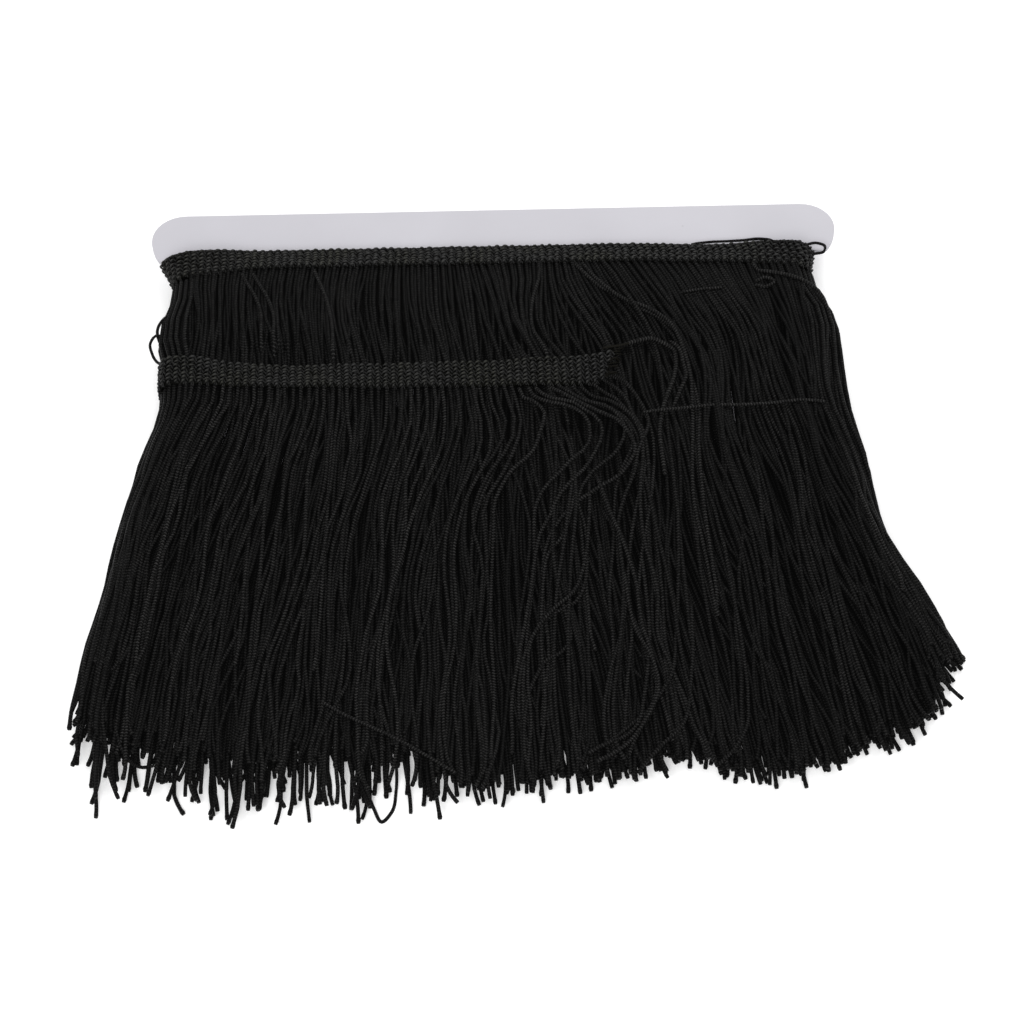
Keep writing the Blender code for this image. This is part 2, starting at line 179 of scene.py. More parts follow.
# %% [markdown]
# ## The yarn's finish
#
# Chainette is itself a tiny knitted tube, so a strand shows a row of short slanted loops, about 1.25 mm
# apart, which meet in a V along its middle. They are far too many to model, and they must follow the
# strand round every bend. So each strand will carry its own coordinates in an attribute: which way this
# bit of surface faces round the strand, and how far along it lies. The material turns them into loops,
# as colour and as bump. The loops are painted much lighter than the gaps between them, as painted
# highlight with painted glints that differ from loop to loop, and the gaps darker, as painted shade. Each
# strand has its own tone, as dyed yarn has, and the whole yarn glows faintly, as painted light for the
# stray light in its gaps.

# %% Small helpers for material nodes
def put(tree, kind, values=(), **settings):
    """A node with its settings; values maps its sockets to numbers or to other nodes' sockets."""
    made = tree.nodes.new(kind)
    for name, value in settings.items():
        setattr(made, name, value)
    for key, value in dict(values).items():
        if isinstance(value, bpy.types.NodeSocket):
            tree.links.new(value, made.inputs[key])
        else:
            made.inputs[key].default_value = value
    return made


def sums(tree, operation, *values):
    """The result socket of one Math node."""
    return put(tree, "ShaderNodeMath", dict(enumerate(values)), operation=operation).outputs[0]


def mapped(tree, value, low, high, to_low=0.0, to_high=1.0, **settings):
    """A value with low to high spread over another range, and held inside it."""
    spans = {0: value, 1: low, 2: high, 3: to_low, 4: to_high}
    return put(tree, "ShaderNodeMapRange", spans, **settings).outputs[0]


def carried(tree, name, output="Fac"):
    """What a piece carries in an attribute of its own."""
    return put(tree, "ShaderNodeAttribute", attribute_name=name).outputs[output]


def own_place(tree):
    return put(tree, "ShaderNodeTexCoord").outputs["Object"]


def noise(tree, where, scale, detail):
    values = {"Vector": where, "Scale": scale, "Detail": detail}
    return put(tree, "ShaderNodeTexNoise", values).outputs["Fac"]


def blended(tree, share, first, second):
    """A colour between two others."""
    return put(tree, "ShaderNodeMix", {0: share, 6: first, 7: second}, data_type="RGBA").outputs[2]


def shaded(tree, shader, colour, height, strength, depth):
    """Gives the shader its colour, and its bump up to a depth in mm."""
    bump = put(tree, "ShaderNodeBump", {"Strength": strength, "Distance": depth * MM, "Height": height})
    tree.links.new(bump.outputs[0], shader.inputs["Normal"])
    tree.links.new(colour, shader.inputs["Base Color"])


def opaque(colour, share=1.0):
    """A colour made lighter or darker, with the fourth number that sockets ask for."""
    return (*[channel * share for channel in colour], 1.0)


print("a quarter more of a dark grey:", opaque((0.2, 0.2, 0.2), 1.25))

# %% Black chainette
YARN_BLACK = (0.0042, 0.0041, 0.004)
LOOP_PITCH = 1.25 * MM
LOOP_SLANT = 2.3  # how far a loop's middle runs ahead of its ends, as an angle of the wave
# Painted light: the yarn glows faintly everywhere, standing in for stray light that reaches the bottom of
# every gap.
GAP_GLOW = 0.0016  # stray light that reaches the bottom of every gap


def chainette_look(name, black, gap_shade, loop_highlight, gloss):
    """Black chainette yarn: a chain of slanted loops along each strand, painted lighter as painted highlight,
    with painted shade between them.
    """
    look, tree, shader = new_look(name, 0.5, gloss, GAP_GLOW)
    course = put(tree, "ShaderNodeSeparateXYZ", {0: carried(tree, "course", "Vector")}).outputs
    slant = sums(tree, "MULTIPLY", sums(tree, "ABSOLUTE", course[0]), LOOP_SLANT)
    turns = sums(tree, "MULTIPLY", course[2], 2 * math.pi / LOOP_PITCH)
    wave = sums(tree, "SINE", sums(tree, "ADD", turns, slant))
    loops = mapped(tree, wave, -0.1, 0.95, interpolation_type="SMOOTHSTEP")
    # Painted glints: a fine noise makes some loops lighter than others.
    painted_glints = mapped(tree, noise(tree, own_place(tree), 900.0, 2.0), 0.36, 0.64, 0.25, 1.15)
    share = sums(tree, "MULTIPLY", loops, painted_glints)
    # Loops painted lighter as painted highlight, gaps painted darker as painted shade.
    colour = blended(tree, share, opaque(black, gap_shade), opaque(black, loop_highlight))
    toned = put(tree, "ShaderNodeHueSaturation", {"Value": carried(tree, "tone"), "Color": colour})
    shaded(tree, shader, toned.outputs[0], loops, 1.0, 0.3)
    return look


strand_look = chainette_look("black_chainette", YARN_BLACK, 0.2, 4.6, 0.06)
print("yarn loops every", LOOP_PITCH / MM, "mm")

# %% [markdown]
# ## The heading's finish
#
# The heading is knitted from a slightly browner yarn, and dust and dye leave faint olive patches in it.
# Its stitches will be real geometry, so their material only needs the ply of the yarn: fine slanting
# lines, patches of tint, and a dull sheen. Each loop also gets a painted highlight where it stands out
# and painted shade elsewhere.

# %% Knitted heading, its ground and its frayed yarn
KNIT_BLACK = (0.0134, 0.0134, 0.0129)


def knit_look(name, black, lighter, gloss, dim, bright):
    """Knitting yarn: plied and patchy, with a painted highlight where each loop stands out and painted shade
    where it doesn't (attribute shine).
    """
    look, tree, shader = new_look(name, 0.6, gloss)
    where = own_place(tree)
    strands = {"Vector": where, "Scale": 620.0, "Distortion": 3.0, "Detail": 1.0}
    ply = put(tree, "ShaderNodeTexWave", strands, bands_direction="DIAGONAL").outputs["Fac"]
    olive = (black[0] * 1.1, black[1] * 1.12, black[2] * 0.6, 1)
    patches = mapped(tree, noise(tree, where, 38.0, 3.0), 0.44, 0.6)
    ground = blended(tree, patches, opaque(black), olive)
    plied = blended(tree, ply, ground, opaque(black, lighter))
    # Painted highlight and painted shade, read from the shine of each part of a stitch.
    painted_highlight = mapped(tree, carried(tree, "shine"), 0.0, 1.0, dim, bright)
    colour = put(tree, "ShaderNodeHueSaturation", {"Value": painted_highlight, "Color": plied})
    shaded(tree, shader, colour.outputs[0], ply, 0.5, 0.12)
    return look


# Two copies of one yarn: the last turn's stitches get a weaker painted highlight and deeper painted shade.
stitch_look = knit_look("knitted_stitches", KNIT_BLACK, 2.0, 0.2, 0.03, 1.5)
last_stitch_look = knit_look("last_turn_stitches", KNIT_BLACK, 2.0, 0.2, 0.02, 1.3)
fray_look = knit_look("ravelled_yarn", (0.0046, 0.0042, 0.0032), 1.5, 0.05, 1.0, 1.0)
# The band's ground is painted far darker than its yarn, as painted shade between the stitches.
ground_shade_look = knit_look("heading_ground_painted_shade", (0.002, 0.002, 0.0018), 1.4, 0.03, 1.0, 1.0)
print("knitting finishes:", [look.name for look in (stitch_look, last_stitch_look, fray_look, ground_shade_look)])

# %% [markdown]
# ## The card's finish
#
# The card is a die-cut sheet of white board. Board is never quite even: soft pulp clouds, a few dark
# specks, and a faint tooth that shows as bump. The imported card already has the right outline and
# rounded edges, so it keeps its mesh and only gets this finish.

# %% White board
def board_look(name):
    """White board: soft clouds of pulp, a few dark specks and a faint tooth."""
    look, tree, shader = new_look(name, 0.55, 0.35)
    where = own_place(tree)
    clouds = noise(tree, where, 22.0, 4.0)
    pulp = blended(tree, clouds, (0.445, 0.437, 0.47, 1), (0.515, 0.506, 0.544, 1))
    specks = put(tree, "ShaderNodeTexVoronoi", {"Vector": where, "Scale": 90.0}).outputs["Distance"]
    dots = sums(tree, "MULTIPLY", mapped(tree, specks, 0.03, 0.06, 1.0, 0.0), 0.28)
    colour = blended(tree, dots, pulp, (0.3, 0.295, 0.3, 1))
    shaded(tree, shader, colour, noise(tree, where, 1400.0, 2.0), 0.25, 0.08)
    return look


white_board = board_look("white_board")
card_slots = nodes["card"].data.materials
for slot in range(len(card_slots)):
    card_slots[slot] = white_board
print("card slots refinished:", len(card_slots))

# %% [markdown]
# ## Reading a table smoothly
#
# The shapes below are written as short tables: at this distance down, the heap is so wide. A strand needs
# the numbers in between, on a smooth curve and for thousands of places at once, so one helper reads a
# whole array of keys with a cubic through the rows.

# %% Smooth tables and ripples
def smooth(table, keys):
    """Columns of a table at these keys, on a smooth curve through its rows and held beyond its ends."""
    rows = np.array(table, float)
    key = rows[:, 0]
    wanted = np.clip(np.asarray(keys, float), key[0], key[-1])
    slopes = np.gradient(rows, key, axis=0)
    after = np.clip(np.searchsorted(key, wanted), 1, len(key) - 1)
    step = key[after] - key[after - 1]
    part = (wanted - key[after - 1]) / step
    hold = ((1 + 2 * part) * (1 - part) ** 2)[..., None]
    found = hold * rows[after - 1] + (1 - hold) * rows[after]
    found += (part * (1 - part) ** 2 * step)[..., None] * slopes[after - 1]
    found -= (part**2 * (1 - part) * step)[..., None] * slopes[after]
    return np.moveaxis(found[..., 1:], -1, 0)


def ease(value):
    """0 below 0, 1 above 1, and a smooth step between."""
    value = np.clip(value, 0.0, 1.0)
    return value * value * (3 - 2 * value)


class Ripples:
    """A smooth random field over the heap, made of a few sine waves of about the given lengths in mm."""

    def __init__(self, dice, across, along, count=7):
        self.across = dice.choice((-1, 1), count) / (across * dice.uniform(0.7, 1.7, count))
        self.along = 1 / (along * dice.uniform(0.7, 1.7, count))
        self.start = dice.uniform(0, 1, count)

    def __call__(self, x, down):
        phase = np.multiply.outer(x, self.across) + np.multiply.outer(down, self.along) + self.start
        return np.sin(2 * math.pi * phase).sum(axis=-1) * math.sqrt(2 / len(self.start))


print("half-way through a smooth step:", float(ease(0.5)))

# %% [markdown]
# ## The heap's outline
#
# Both sides of the heap, the line of the tips and the heap's height are short tables. They follow the
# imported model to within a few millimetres. The strands are laid inside them, so the finished piece has
# its size, but for the tips of some strands that reach a little further.

# %% Outline, tips and heights
OUTLINE = (  # down, left side, right side
    (34, -140.5, 141.5), (44, -144.0, 146.0), (56, -147.0, 149.5), (68, -147.8, 151.0),
    (80, -146.0, 151.5), (96, -145.6, 152.0), (112, -149.6, 153.8), (126, -154.4, 157.6),
    (140, -158.2, 162.0), (157, -162.0, 165.8), (176, -166.0, 173.0), (195, -170.2, 183.5),
    (213, -174.0, 192.0), (230, -177.2, 199.0), (250, -179.5, 205.0), (280, -180.5, 212.0),
)
TIPS = (  # x, down
    (-175, 251), (-165, 261), (-140, 264), (-110, 273), (-73, 269), (-48, 268), (-12, 271), (25, 267),
    (60, 264), (76, 258), (93, 265), (118, 265), (143, 259), (168, 248), (183, 234), (197, 205),
)
HEIGHTS = (  # down, upper face of the heap
    (30, 24.0), (50, 26.1), (64, 26.5), (112, 26.5), (127, 25.4), (140, 23.5), (162, 19.6), (184, 15.8),
    (206, 12.2), (228, 9.2), (270, 6.0),
)
SIDE_ROUND = 0.48  # how wide its rolled sides are, as a share of its height
STRAND_PITCH = 3.35
STRAND_LENGTH = 186.5
STRAND_RADIUS = 0.88
SQUASH = 0.9  # yarn gives way where it is pressed


def sides(down):
    """Where the flat part of the heap begins and ends: its sides roll down from there."""
    left, right = smooth(OUTLINE, down)
    reach = SIDE_ROUND * smooth(HEIGHTS, down)[0]
    return left + reach, right - reach


print("strands every", STRAND_PITCH, "mm,", STRAND_LENGTH, "mm long")

# %% [markdown]
# ## Laying strands one on another
#
# More than a thousand strands lie in this heap, and real ones can't share the same room. A rigid-body or
# rope simulation would take minutes and could fail to settle. Strands that are laid one after another
# can be solved much more simply: keep a fine map of how high the heap is everywhere, lay each strand
# along its route at the lowest height that touches nothing, and then add it to the map. The yarn is too
# stiff to dip into every gap, so its height is widened and smoothed along the strand, and it can't fall
# more steeply than a set slope.

# %% The height map
class HeapMap:
    """How high the heap is, in millimetres, on a grid seen from above."""

    CELL = 0.5
    LEFT, TOP = -215.0, -5.0
    WIDE, DEEP = 430.0, 320.0

    def __init__(self):
        self.height = np.zeros((round(self.DEEP / self.CELL), round(self.WIDE / self.CELL)))

    def discs(self, x, down, radius):
        """For each point, the cells that a strand covers and how far it bulges over each of them."""
        column, row = (x - self.LEFT) / self.CELL, (down - self.TOP) / self.CELL
        reach = math.ceil(radius / self.CELL)
        span = np.arange(-reach, reach + 1)
        columns = np.round(column)[..., None, None].astype(int) + span[None, :]
        rows = np.round(row)[..., None, None].astype(int) + span[:, None]
        off = (columns - column[..., None, None]) ** 2 + (rows - row[..., None, None]) ** 2
        room = radius**2 - off * self.CELL**2
        rows = np.clip(rows, 0, self.height.shape[0] - 1)
        columns = np.clip(columns, 0, self.height.shape[1] - 1)
        rows, columns = np.broadcast_arrays(rows, columns)
        return rows, columns, np.sqrt(np.clip(room, 0, None)), room > 0

    def rest(self, x, down, radius):
        """The lowest centre height at which a strand of this radius touches nothing."""
        rows, columns, bulge, inside = self.discs(x, down, radius)
        return np.where(inside, self.height[rows, columns] + bulge, 0).max(axis=(-1, -2))

    def add(self, x, down, z, radius):
        """Puts strands into the map."""
        rows, columns, bulge, inside = self.discs(x, down, radius)
        top = z[..., None, None] + bulge
        np.maximum.at(self.height, (rows[inside], columns[inside]), top[inside])

    def window(self, x_low, x_high, down_low, down_high):
        """The part of the map that a rectangle covers."""
        rows = slice(*[round((down - self.TOP) / self.CELL) for down in (down_low, down_high)])
        columns = slice(*[round((x - self.LEFT) / self.CELL) for x in (x_low, x_high)])
        return self.height[rows, columns]

    def level(self, x_low, x_high, down_low, down_high, z):
        """Fills a rectangle up to z, for a solid thing such as the card."""
        covered = self.window(x_low, x_high, down_low, down_high)
        np.maximum(covered, z, out=covered)


heap = HeapMap()
print("height map:", heap.height.shape, "cells of", HeapMap.CELL, "mm")

# %% Stiffness, and laying a batch
PRESSED_RADIUS = STRAND_RADIUS * SQUASH
STEEPEST_FALL, STEEPEST_CLIMB = 0.17, 0.5
STIFFNESS = 2.5  # a strand evens out its ups and downs over about this many millimetres
ROOT_HOLD = 9.0  # and over this many it leaves the height that it starts at


def widened(z, reach):
    """Each value becomes the highest within reach samples."""
    padded = np.pad(z, ((0, 0), (reach, reach)), mode="edge")
    return np.max([padded[:, shift : shift + z.shape[1]] for shift in range(2 * reach + 1)], axis=0)


def softened(z, spread):
    """A moving average with a bell-shaped weight, along each strand."""
    reach = int(3 * spread)
    weights = np.exp(-0.5 * (np.arange(-reach, reach + 1) / spread) ** 2)
    padded = np.pad(z, ((0, 0), (reach, reach)), mode="reflect", reflect_type="odd")
    weights /= weights.sum()
    return sum(weight * padded[:, shift : shift + z.shape[1]] for shift, weight in enumerate(weights))


def lay(x, down, start_z, steepest=STEEPEST_FALL, radius=PRESSED_RADIUS):
    """Heights for a batch of strands (rows of places 1 mm apart), which then lie in the heap."""
    need = heap.rest(x, down, radius)
    need[:, 0] = np.maximum(start_z, radius)
    z = widened(need, 1)
    run = np.arange(z.shape[1])
    fall = np.maximum.accumulate(z + steepest * run, axis=1) - steepest * run
    climb = STEEPEST_CLIMB * run
    climb = np.maximum.accumulate((z - climb)[:, ::-1], axis=1)[:, ::-1] + climb
    z = softened(np.maximum(fall, climb), STIFFNESS)
    z = z + (start_z - z[:, 0])[:, None] * (1 - ease(run / ROOT_HOLD))
    heap.add(x, down, z, radius)
    return z


print("a bump of 1 mm after softening: %.2f mm" % softened(np.eye(1, 41, 20), STIFFNESS).max())

# %% [markdown]
# ## From a route to a strand
#
# A strand is a thin tube along its route. Curve to Mesh sweeps a small ring along each route in Geometry
# Nodes, scales it by an attribute so that the cut end can flare, and stores the course attribute that
# the yarn's finish reads. Six sides are enough for something two millimetres thick, and they keep a
# thousand strands light.

# %% Geometry Nodes: what both trees need
def geo(tree, kind, values=(), **settings):
    """The first output of a new Geometry Nodes node."""
    return put(tree, "GeometryNode" + kind, values, **settings).outputs[0]


def vector_of(tree, x, y, z):
    return put(tree, "ShaderNodeCombineXYZ", {0: x, 1: y, 2: z}).outputs[0]


def named(tree, name, kind="FLOAT"):
    return geo(tree, "InputNamedAttribute", {"Name": name}, data_type=kind)


def stored(tree, geometry, name, value, kind="FLOAT", domain="POINT"):
    """The geometry with a value kept on it under a name."""
    kept = {"Geometry": geometry, "Name": name, "Value": value}
    return geo(tree, "StoreNamedAttribute", kept, data_type=kind, domain=domain)


def node_group(name, **inputs):
    """An empty modifier tree with these inputs, and the sockets that they arrive at."""
    tree = bpy.data.node_groups.new(name, "GeometryNodeTree")
    for way in ("INPUT", "OUTPUT"):
        tree.interface.new_socket("Geometry", in_out=way, socket_type="NodeSocketGeometry")
    for label, kind in inputs.items():
        label = label.replace("_", " ")
        tree.interface.new_socket(label, in_out="INPUT", socket_type="NodeSocket" + kind)
    return tree, tree.nodes.new("NodeGroupInput").outputs


def finish_tree(tree, geometry, material):
    """Every tree ends the same way: smooth shading, real geometry, a material, and the way out."""
    smoothed = geo(tree, "SetShadeSmooth", {"Geometry": geometry})
    real = geo(tree, "RealizeInstances", {"Geometry": smoothed})
    painted = geo(tree, "SetMaterial", {"Geometry": real, "Material": material})
    tree.links.new(painted, tree.nodes.new("NodeGroupOutput").inputs[0])
    print("tree", tree.name, "has", len(tree.nodes), "nodes")
    return tree


# %% Geometry Nodes: one tree sweeps every strand
def sweep_tree():
    """Edges with their attributes come in, strands of yarn go out."""
    tree, given = node_group("sweep_strands", Strand_radius="Float", Sides="Int", Yarn="Material")
    ring = geo(tree, "CurvePrimitiveCircle", {"Resolution": given["Sides"], "Radius": 1.0}, mode="RADIUS")
    caught = tree.nodes.new("GeometryNodeCaptureAttribute")
    caught.capture_items.new("VECTOR", "facing")
    tree.links.new(ring, caught.inputs["Geometry"])
    tree.links.new(geo(tree, "InputPosition"), caught.inputs["facing"])
    facing = put(tree, "ShaderNodeSeparateXYZ", {0: caught.outputs["facing"]}).outputs
    routes = geo(tree, "MeshToCurve", {"Mesh": given["Geometry"]})
    twisted = geo(tree, "SetCurveTilt", {"Curve": routes, "Tilt": named(tree, "twist")})
    thickness = sums(tree, "MULTIPLY", named(tree, "thick"), given["Strand radius"])
    profile = {"Profile Curve": caught.outputs["Geometry"], "Scale": thickness, "Fill Caps": True}
    swept = geo(tree, "CurveToMesh", {"Curve": twisted, **profile})
    course = vector_of(tree, facing[0], facing[1], named(tree, "along"))
    return finish_tree(tree, stored(tree, swept, "course", course, "FLOAT_VECTOR"), given["Yarn"])


strand_tree = sweep_tree()

# %% Running a tree and keeping the plain mesh
def seed_mesh(name, points, edges=(), **values):
    """A mesh of bare points or edges, with a number or a vector for each point under each name."""
    mesh = bpy.data.meshes.new(name)
    mesh.from_pydata(points.tolist(), np.asarray(edges).tolist(), [])
    for label, numbers in values.items():
        kind, key = ("FLOAT", "value") if numbers.ndim == 1 else ("FLOAT_VECTOR", "vector")
        held = mesh.attributes.new(label, kind, "POINT")
        held.data.foreach_set(key, numbers.astype(np.float32).ravel())
    return mesh


def grown(name, seed, tree, **inputs):
    """The plain mesh that a tree makes of a seed mesh, as an object at the origin."""
    host = placed(name + "_seed", seed)
    modifier = host.modifiers.new("grow", "NODES")
    modifier.node_group = tree
    sockets = {item.name: item.identifier for item in tree.interface.items_tree}
    for label, value in inputs.items():
        modifier[sockets[label.replace("_", " ")]] = value
    bpy.context.view_layer.update()
    graph = bpy.context.evaluated_depsgraph_get()
    mesh = bpy.data.meshes.new_from_object(host.evaluated_get(graph))
    host.modifiers.remove(modifier)
    bpy.data.objects.remove(host)
    mesh.name = name
    print(f"{name}: {sum(len(face.vertices) - 2 for face in mesh.polygons):,} triangles")
    return placed(name, mesh)


# %% [markdown]
# ## A strand's own habits
#
# Every strand is cut from the same yarn but none lies the same. Its route wanders a little, its end is a
# small flared bud that hooks to one side, and its tone and twist are its own. A route is worked out every
# millimetre, which is what laying needs, and then thinned to the few points that the tube needs: closer
# at the cut end, where the shape changes quickly.

# %% Cut ends, and the points that a tube keeps
dice = np.random.default_rng(41)
HOOKED_SAMPLES = 9  # how much of a strand's end hooks to one side, in samples 1 mm apart
TIP_SAMPLES = (8, 5, 3, 2, 1, 0)  # the samples from the tip that a tube keeps


def cut_end(x, down, hook):
    """Bends the end of each strand to one side, by hook millimetres."""
    from_tip = x.shape[1] - 1 - np.arange(x.shape[1])
    share = np.clip((HOOKED_SAMPLES - from_tip) / HOOKED_SAMPLES, 0, 1) ** 1.6
    return x + hook[:, None] * share, down - 0.25 * np.abs(hook)[:, None] * share


def thinned(count, most):
    """Which of the 1 mm samples the tube keeps: most of them, and closer together near the tip."""
    ends = [count - 1 - back for back in TIP_SAMPLES]
    even = np.linspace(0, count - 1 - HOOKED_SAMPLES, most - len(ends))
    return np.unique(np.round(np.concatenate([even, ends])).astype(int))


def run_along(points):
    """Distance along a line of points from its first."""
    return np.concatenate([[0], np.cumsum(np.linalg.norm(np.diff(points, axis=0), axis=1))])


print("samples kept of a whole strand:", thinned(int(STRAND_LENGTH) + 1, 14))

# %% Each strand's own tone, twist and bud
# Painted sheen and dye: bunches of neighbouring strands are painted lighter or darker alike.
SHADES = Ripples(np.random.default_rng(12), 24.0, 400.0, 5)  # neighbours take the light alike
TONES = (0.68, 1.32)
STRAND_SIDES = 6


def strand_lines(x, down, z, most, tones=TONES):
    """Lines in metres with their attributes, for a batch of laid strands."""
    shades = 1 + 0.13 * SHADES(x[:, x.shape[1] // 2], 0 * x[:, 0])
    found = {"lines": [], "thick": [], "along": [], "tone": [], "twist": []}
    for row in range(len(x)):
        keep = thinned(x.shape[1], most)
        line = at(x[row, keep], down[row, keep], z[row, keep])
        along = run_along(line)
        from_tip = (along[-1] - along) / MM
        bud = 0.34 * np.exp(-(((from_tip - 1.0) / 1.0) ** 2)) - 0.22 * np.exp(-((from_tip / 0.5) ** 2))
        found["lines"].append(line)
        found["thick"].append(dice.uniform(0.94, 1.05) * (1 + dice.uniform(0.1, 0.9) * bud))
        found["along"].append(along + dice.uniform(0, 1) * LOOP_PITCH)
        found["tone"].append(np.full(len(keep), shades[row] * dice.uniform(*tones)))
        found["twist"].append(dice.uniform(0, 2 * math.pi) + along * dice.uniform(-25, 25))
    return found


def gathered(batches):
    """Several batches of strand lines as one."""
    return {key: [item for batch in batches for item in batch[key]] for key in batches[0]}


def sweep(name, found, yarn=strand_look):
    """One piece made of all these strands."""
    starts = np.cumsum([0] + [len(line) for line in found["lines"]])
    edges = [
        np.column_stack([np.arange(first, last - 1), np.arange(first + 1, last)])
        for first, last in zip(starts, starts[1:])
    ]
    numbers = {key: np.concatenate(found[key]) for key in ("thick", "along", "tone", "twist")}
    seed = seed_mesh(name, np.concatenate(found["lines"]), np.concatenate(edges), **numbers)
    return grown(name, seed, strand_tree, Strand_radius=STRAND_RADIUS * MM, Sides=STRAND_SIDES, Yarn=yarn)


print("the tones of bunches of strands vary by %.2f" % (0.13 * SHADES(np.arange(-150.0, 150.0), 0.0).std()))

# %% [markdown]
# ## How a comb of strands spreads
#
# Under the heading a comb is evenly spaced. Further down its strands follow a few guides, as hair does:
# each guide says where a strand from this place on the heading lies at each distance down, and all the
# others are read between them. On top of that come slow ripples that neighbours share, a pull towards
# the nearest bunch, and a little wandering of each strand.

# %% Guides and bunches
def following(guides, rows, x_start):
    """A shape read between guides. Each guide holds its start, then its x at each distance down in rows."""
    table = np.array(guides, float)
    after = np.clip(np.searchsorted(table[:, 0], x_start), 1, len(table) - 1)
    low, high = table[after - 1, 0], table[after, 0]
    part = ((x_start - low) / (high - low))[:, None]
    strand = np.arange(len(x_start))

    def shape(down):
        lines = np.stack([smooth(np.column_stack([rows, line]), down)[0] for line in table[:, 1:]])
        return lines[after - 1, strand] * (1 - part) + lines[after, strand] * part

    return shape


def bunched(x, x_start, share, spacing, pull):
    """Strands lean towards the nearest of a row of bunches, more and more towards their tips."""
    places = np.cumsum(dice.uniform(0.6, 1.5, 80) * spacing) - 240
    nearest = places[np.abs(x_start[:, None] - places).argmin(axis=1)]
    return x + (nearest - x_start)[:, None] * pull * ease(share * 1.3 - 0.1)


between = following(((0, 0, 0), (10, 20, 40)), (0, 1), np.array([5.0]))
print("half-way between two guides:", between(np.array([[0.0, 1.0]]))[0])

# %% Wandering, and keeping inside the heap
HEM = 2.0  # strands begin to crowd this far inside the heap's sides
WAVES = (0.7, 1.6, 3.1, 6.3)  # waves along one strand; the short ones are weaker


def wandering(count, samples, size):
    """A slow side-to-side wander of each strand, zero at its root."""
    run = np.linspace(0, 1, samples)
    total = np.zeros((count, samples))
    for waves in WAVES:
        strength = dice.normal(0, 1, count) / waves**0.8
        phase = dice.uniform(0, 1, count)
        wave = np.sin(2 * math.pi * (waves * run + phase[:, None])) - np.sin(2 * math.pi * phase)[:, None]
        total += strength[:, None] * wave
    return size * total * ease(run * 4)


def hemmed_in(x, down):
    """A strand that would bow out past a side of the heap lies against its neighbours instead."""
    left, right = smooth(OUTLINE, down)
    over, under = np.maximum(x - right + HEM, 0), np.maximum(left + HEM - x, 0)
    return x - over + HEM * np.tanh(over / HEM) + under - HEM * np.tanh(under / HEM)


print("a strand at x -145 mm at the top of the heap is held at x", hemmed_in(-145.0, 34.0).round(1), "mm")

# %% Where each strand ends
TUFTS = Ripples(np.random.default_rng(3), 6.0, 400.0, 6)  # where along the tips the long ones gather
TUFT_FROM = 0.3  # a tuft is where that field stands above this
LONG_IN_TUFT, LONG_ELSEWHERE = 0.55, 0.03  # shares of strands that end past the others
EARLY_TIPS = (205, 262)  # between which distances down the hidden short strands end
BEYOND = 300.0  # past every tip
ROUNDS = 5  # the line of the tips depends on x, and x on how far down the tip is, so it is found in rounds


def tips_of(down_start, shape, shorter, early_share):
    """How far down each strand reaches: to its own length, or to the line of the tips if that is nearer.

    Where early_share is given, all but that share of them reach the line of the tips."""
    count = len(down_start)
    free_tip = down_start + STRAND_LENGTH - 1.5
    if early_share is not None:
        early = dice.uniform(0, 1, count) < early_share
        free_tip = np.where(early, dice.uniform(*EARLY_TIPS, count), BEYOND)
    tip = free_tip
    for _ in range(ROUNDS):
        tip_x = shape(tip[:, None])[:, 0]
        tip = np.minimum(free_tip, smooth(TIPS, tip_x)[0] - shorter)
    ragged = ease((-tip_x - 5.0) / 40.0)  # the left half is less even
    tip += (1.6 + 1.2 * ragged) * (
        np.clip(dice.normal(0, 1.0, count), -2, 2) + Ripples(dice, 13.0, 60.0)(tip_x, 0 * tip_x)
    )
    in_tuft = TUFTS(tip_x, 0 * tip_x) > TUFT_FROM
    is_long = dice.uniform(0, 1, count) < np.where(in_tuft, LONG_IN_TUFT, LONG_ELSEWHERE)
    tip += np.where(is_long, 4.0 + 8.0 * ragged + dice.uniform(-2, 3 + 10 * ragged, count), 0.0)
    return tip + (2.5 - 12.0 * ragged)


print("tips reach %d to %d mm down" % (min(row[1] for row in TIPS), max(row[1] for row in TIPS)))

# %% A whole comb
LAID_TOGETHER = 4  # a comb is laid in this many shares
POINTS = 27


def comb(x_start, down_start, shape, shorter, wander, shared, bunch, early_share=None):
    """Routes of a whole comb, about 1 mm apart: x and down, each with a row for every strand.

    shape(down) is the fan, shared the (size, width, length) of ripples that neighbours share, and
    bunch the (spacing, pull) of the bunches."""
    share = np.linspace(0, 1, int(STRAND_LENGTH) + 1)
    tip = tips_of(down_start, shape, shorter, early_share)
    down = down_start[:, None] + (tip - down_start)[:, None] * share
    x = shape(down)
    x = x + (x_start - x[:, 0])[:, None] * (1 - ease(share * 8))
    x = x + shared[0] * Ripples(dice, *shared[1:])(x, down) * ease(share * 3)
    x = bunched(x, x_start, share, *bunch)
    x = hemmed_in(x + wandering(len(x_start), len(share), wander), down)
    return cut_end(x, down, dice.normal(0, 1.5, len(x_start)))


def lay_comb(x, down, start_z, most=POINTS, squash=SQUASH, tones=TONES):
    """Lays a comb a few strands at a time, so that crossing neighbours don't share their room."""
    z = np.zeros_like(x)
    order = dice.permutation(len(x))
    for group in range(LAID_TOGETHER):
        rows = order[group::LAID_TOGETHER]
        z[rows] = lay(x[rows], down[rows], start_z[rows], radius=STRAND_RADIUS * squash)
    return strand_lines(x, down, z, most, tones)


def heading_x(low, high, phase=0.5, uneven=0.35):
    """Places of the strands along a heading, one pitch apart with a little unevenness."""
    places = np.arange(low + STRAND_PITCH * phase, high, STRAND_PITCH)
    return places + dice.uniform(-uneven, uneven, len(places))


print("combs are laid in", LAID_TOGETHER, "shares, with", POINTS, "points for a strand that shows")

# %% [markdown]
# ## Where the headings run
#
# The inner turns of the heading are wound on top of one another round the card's neck. The last turn
# goes its own way: it crosses the back at a slant, comes round the left edge, and lies across the front.
# The strands start from these edges, so their courses come first.

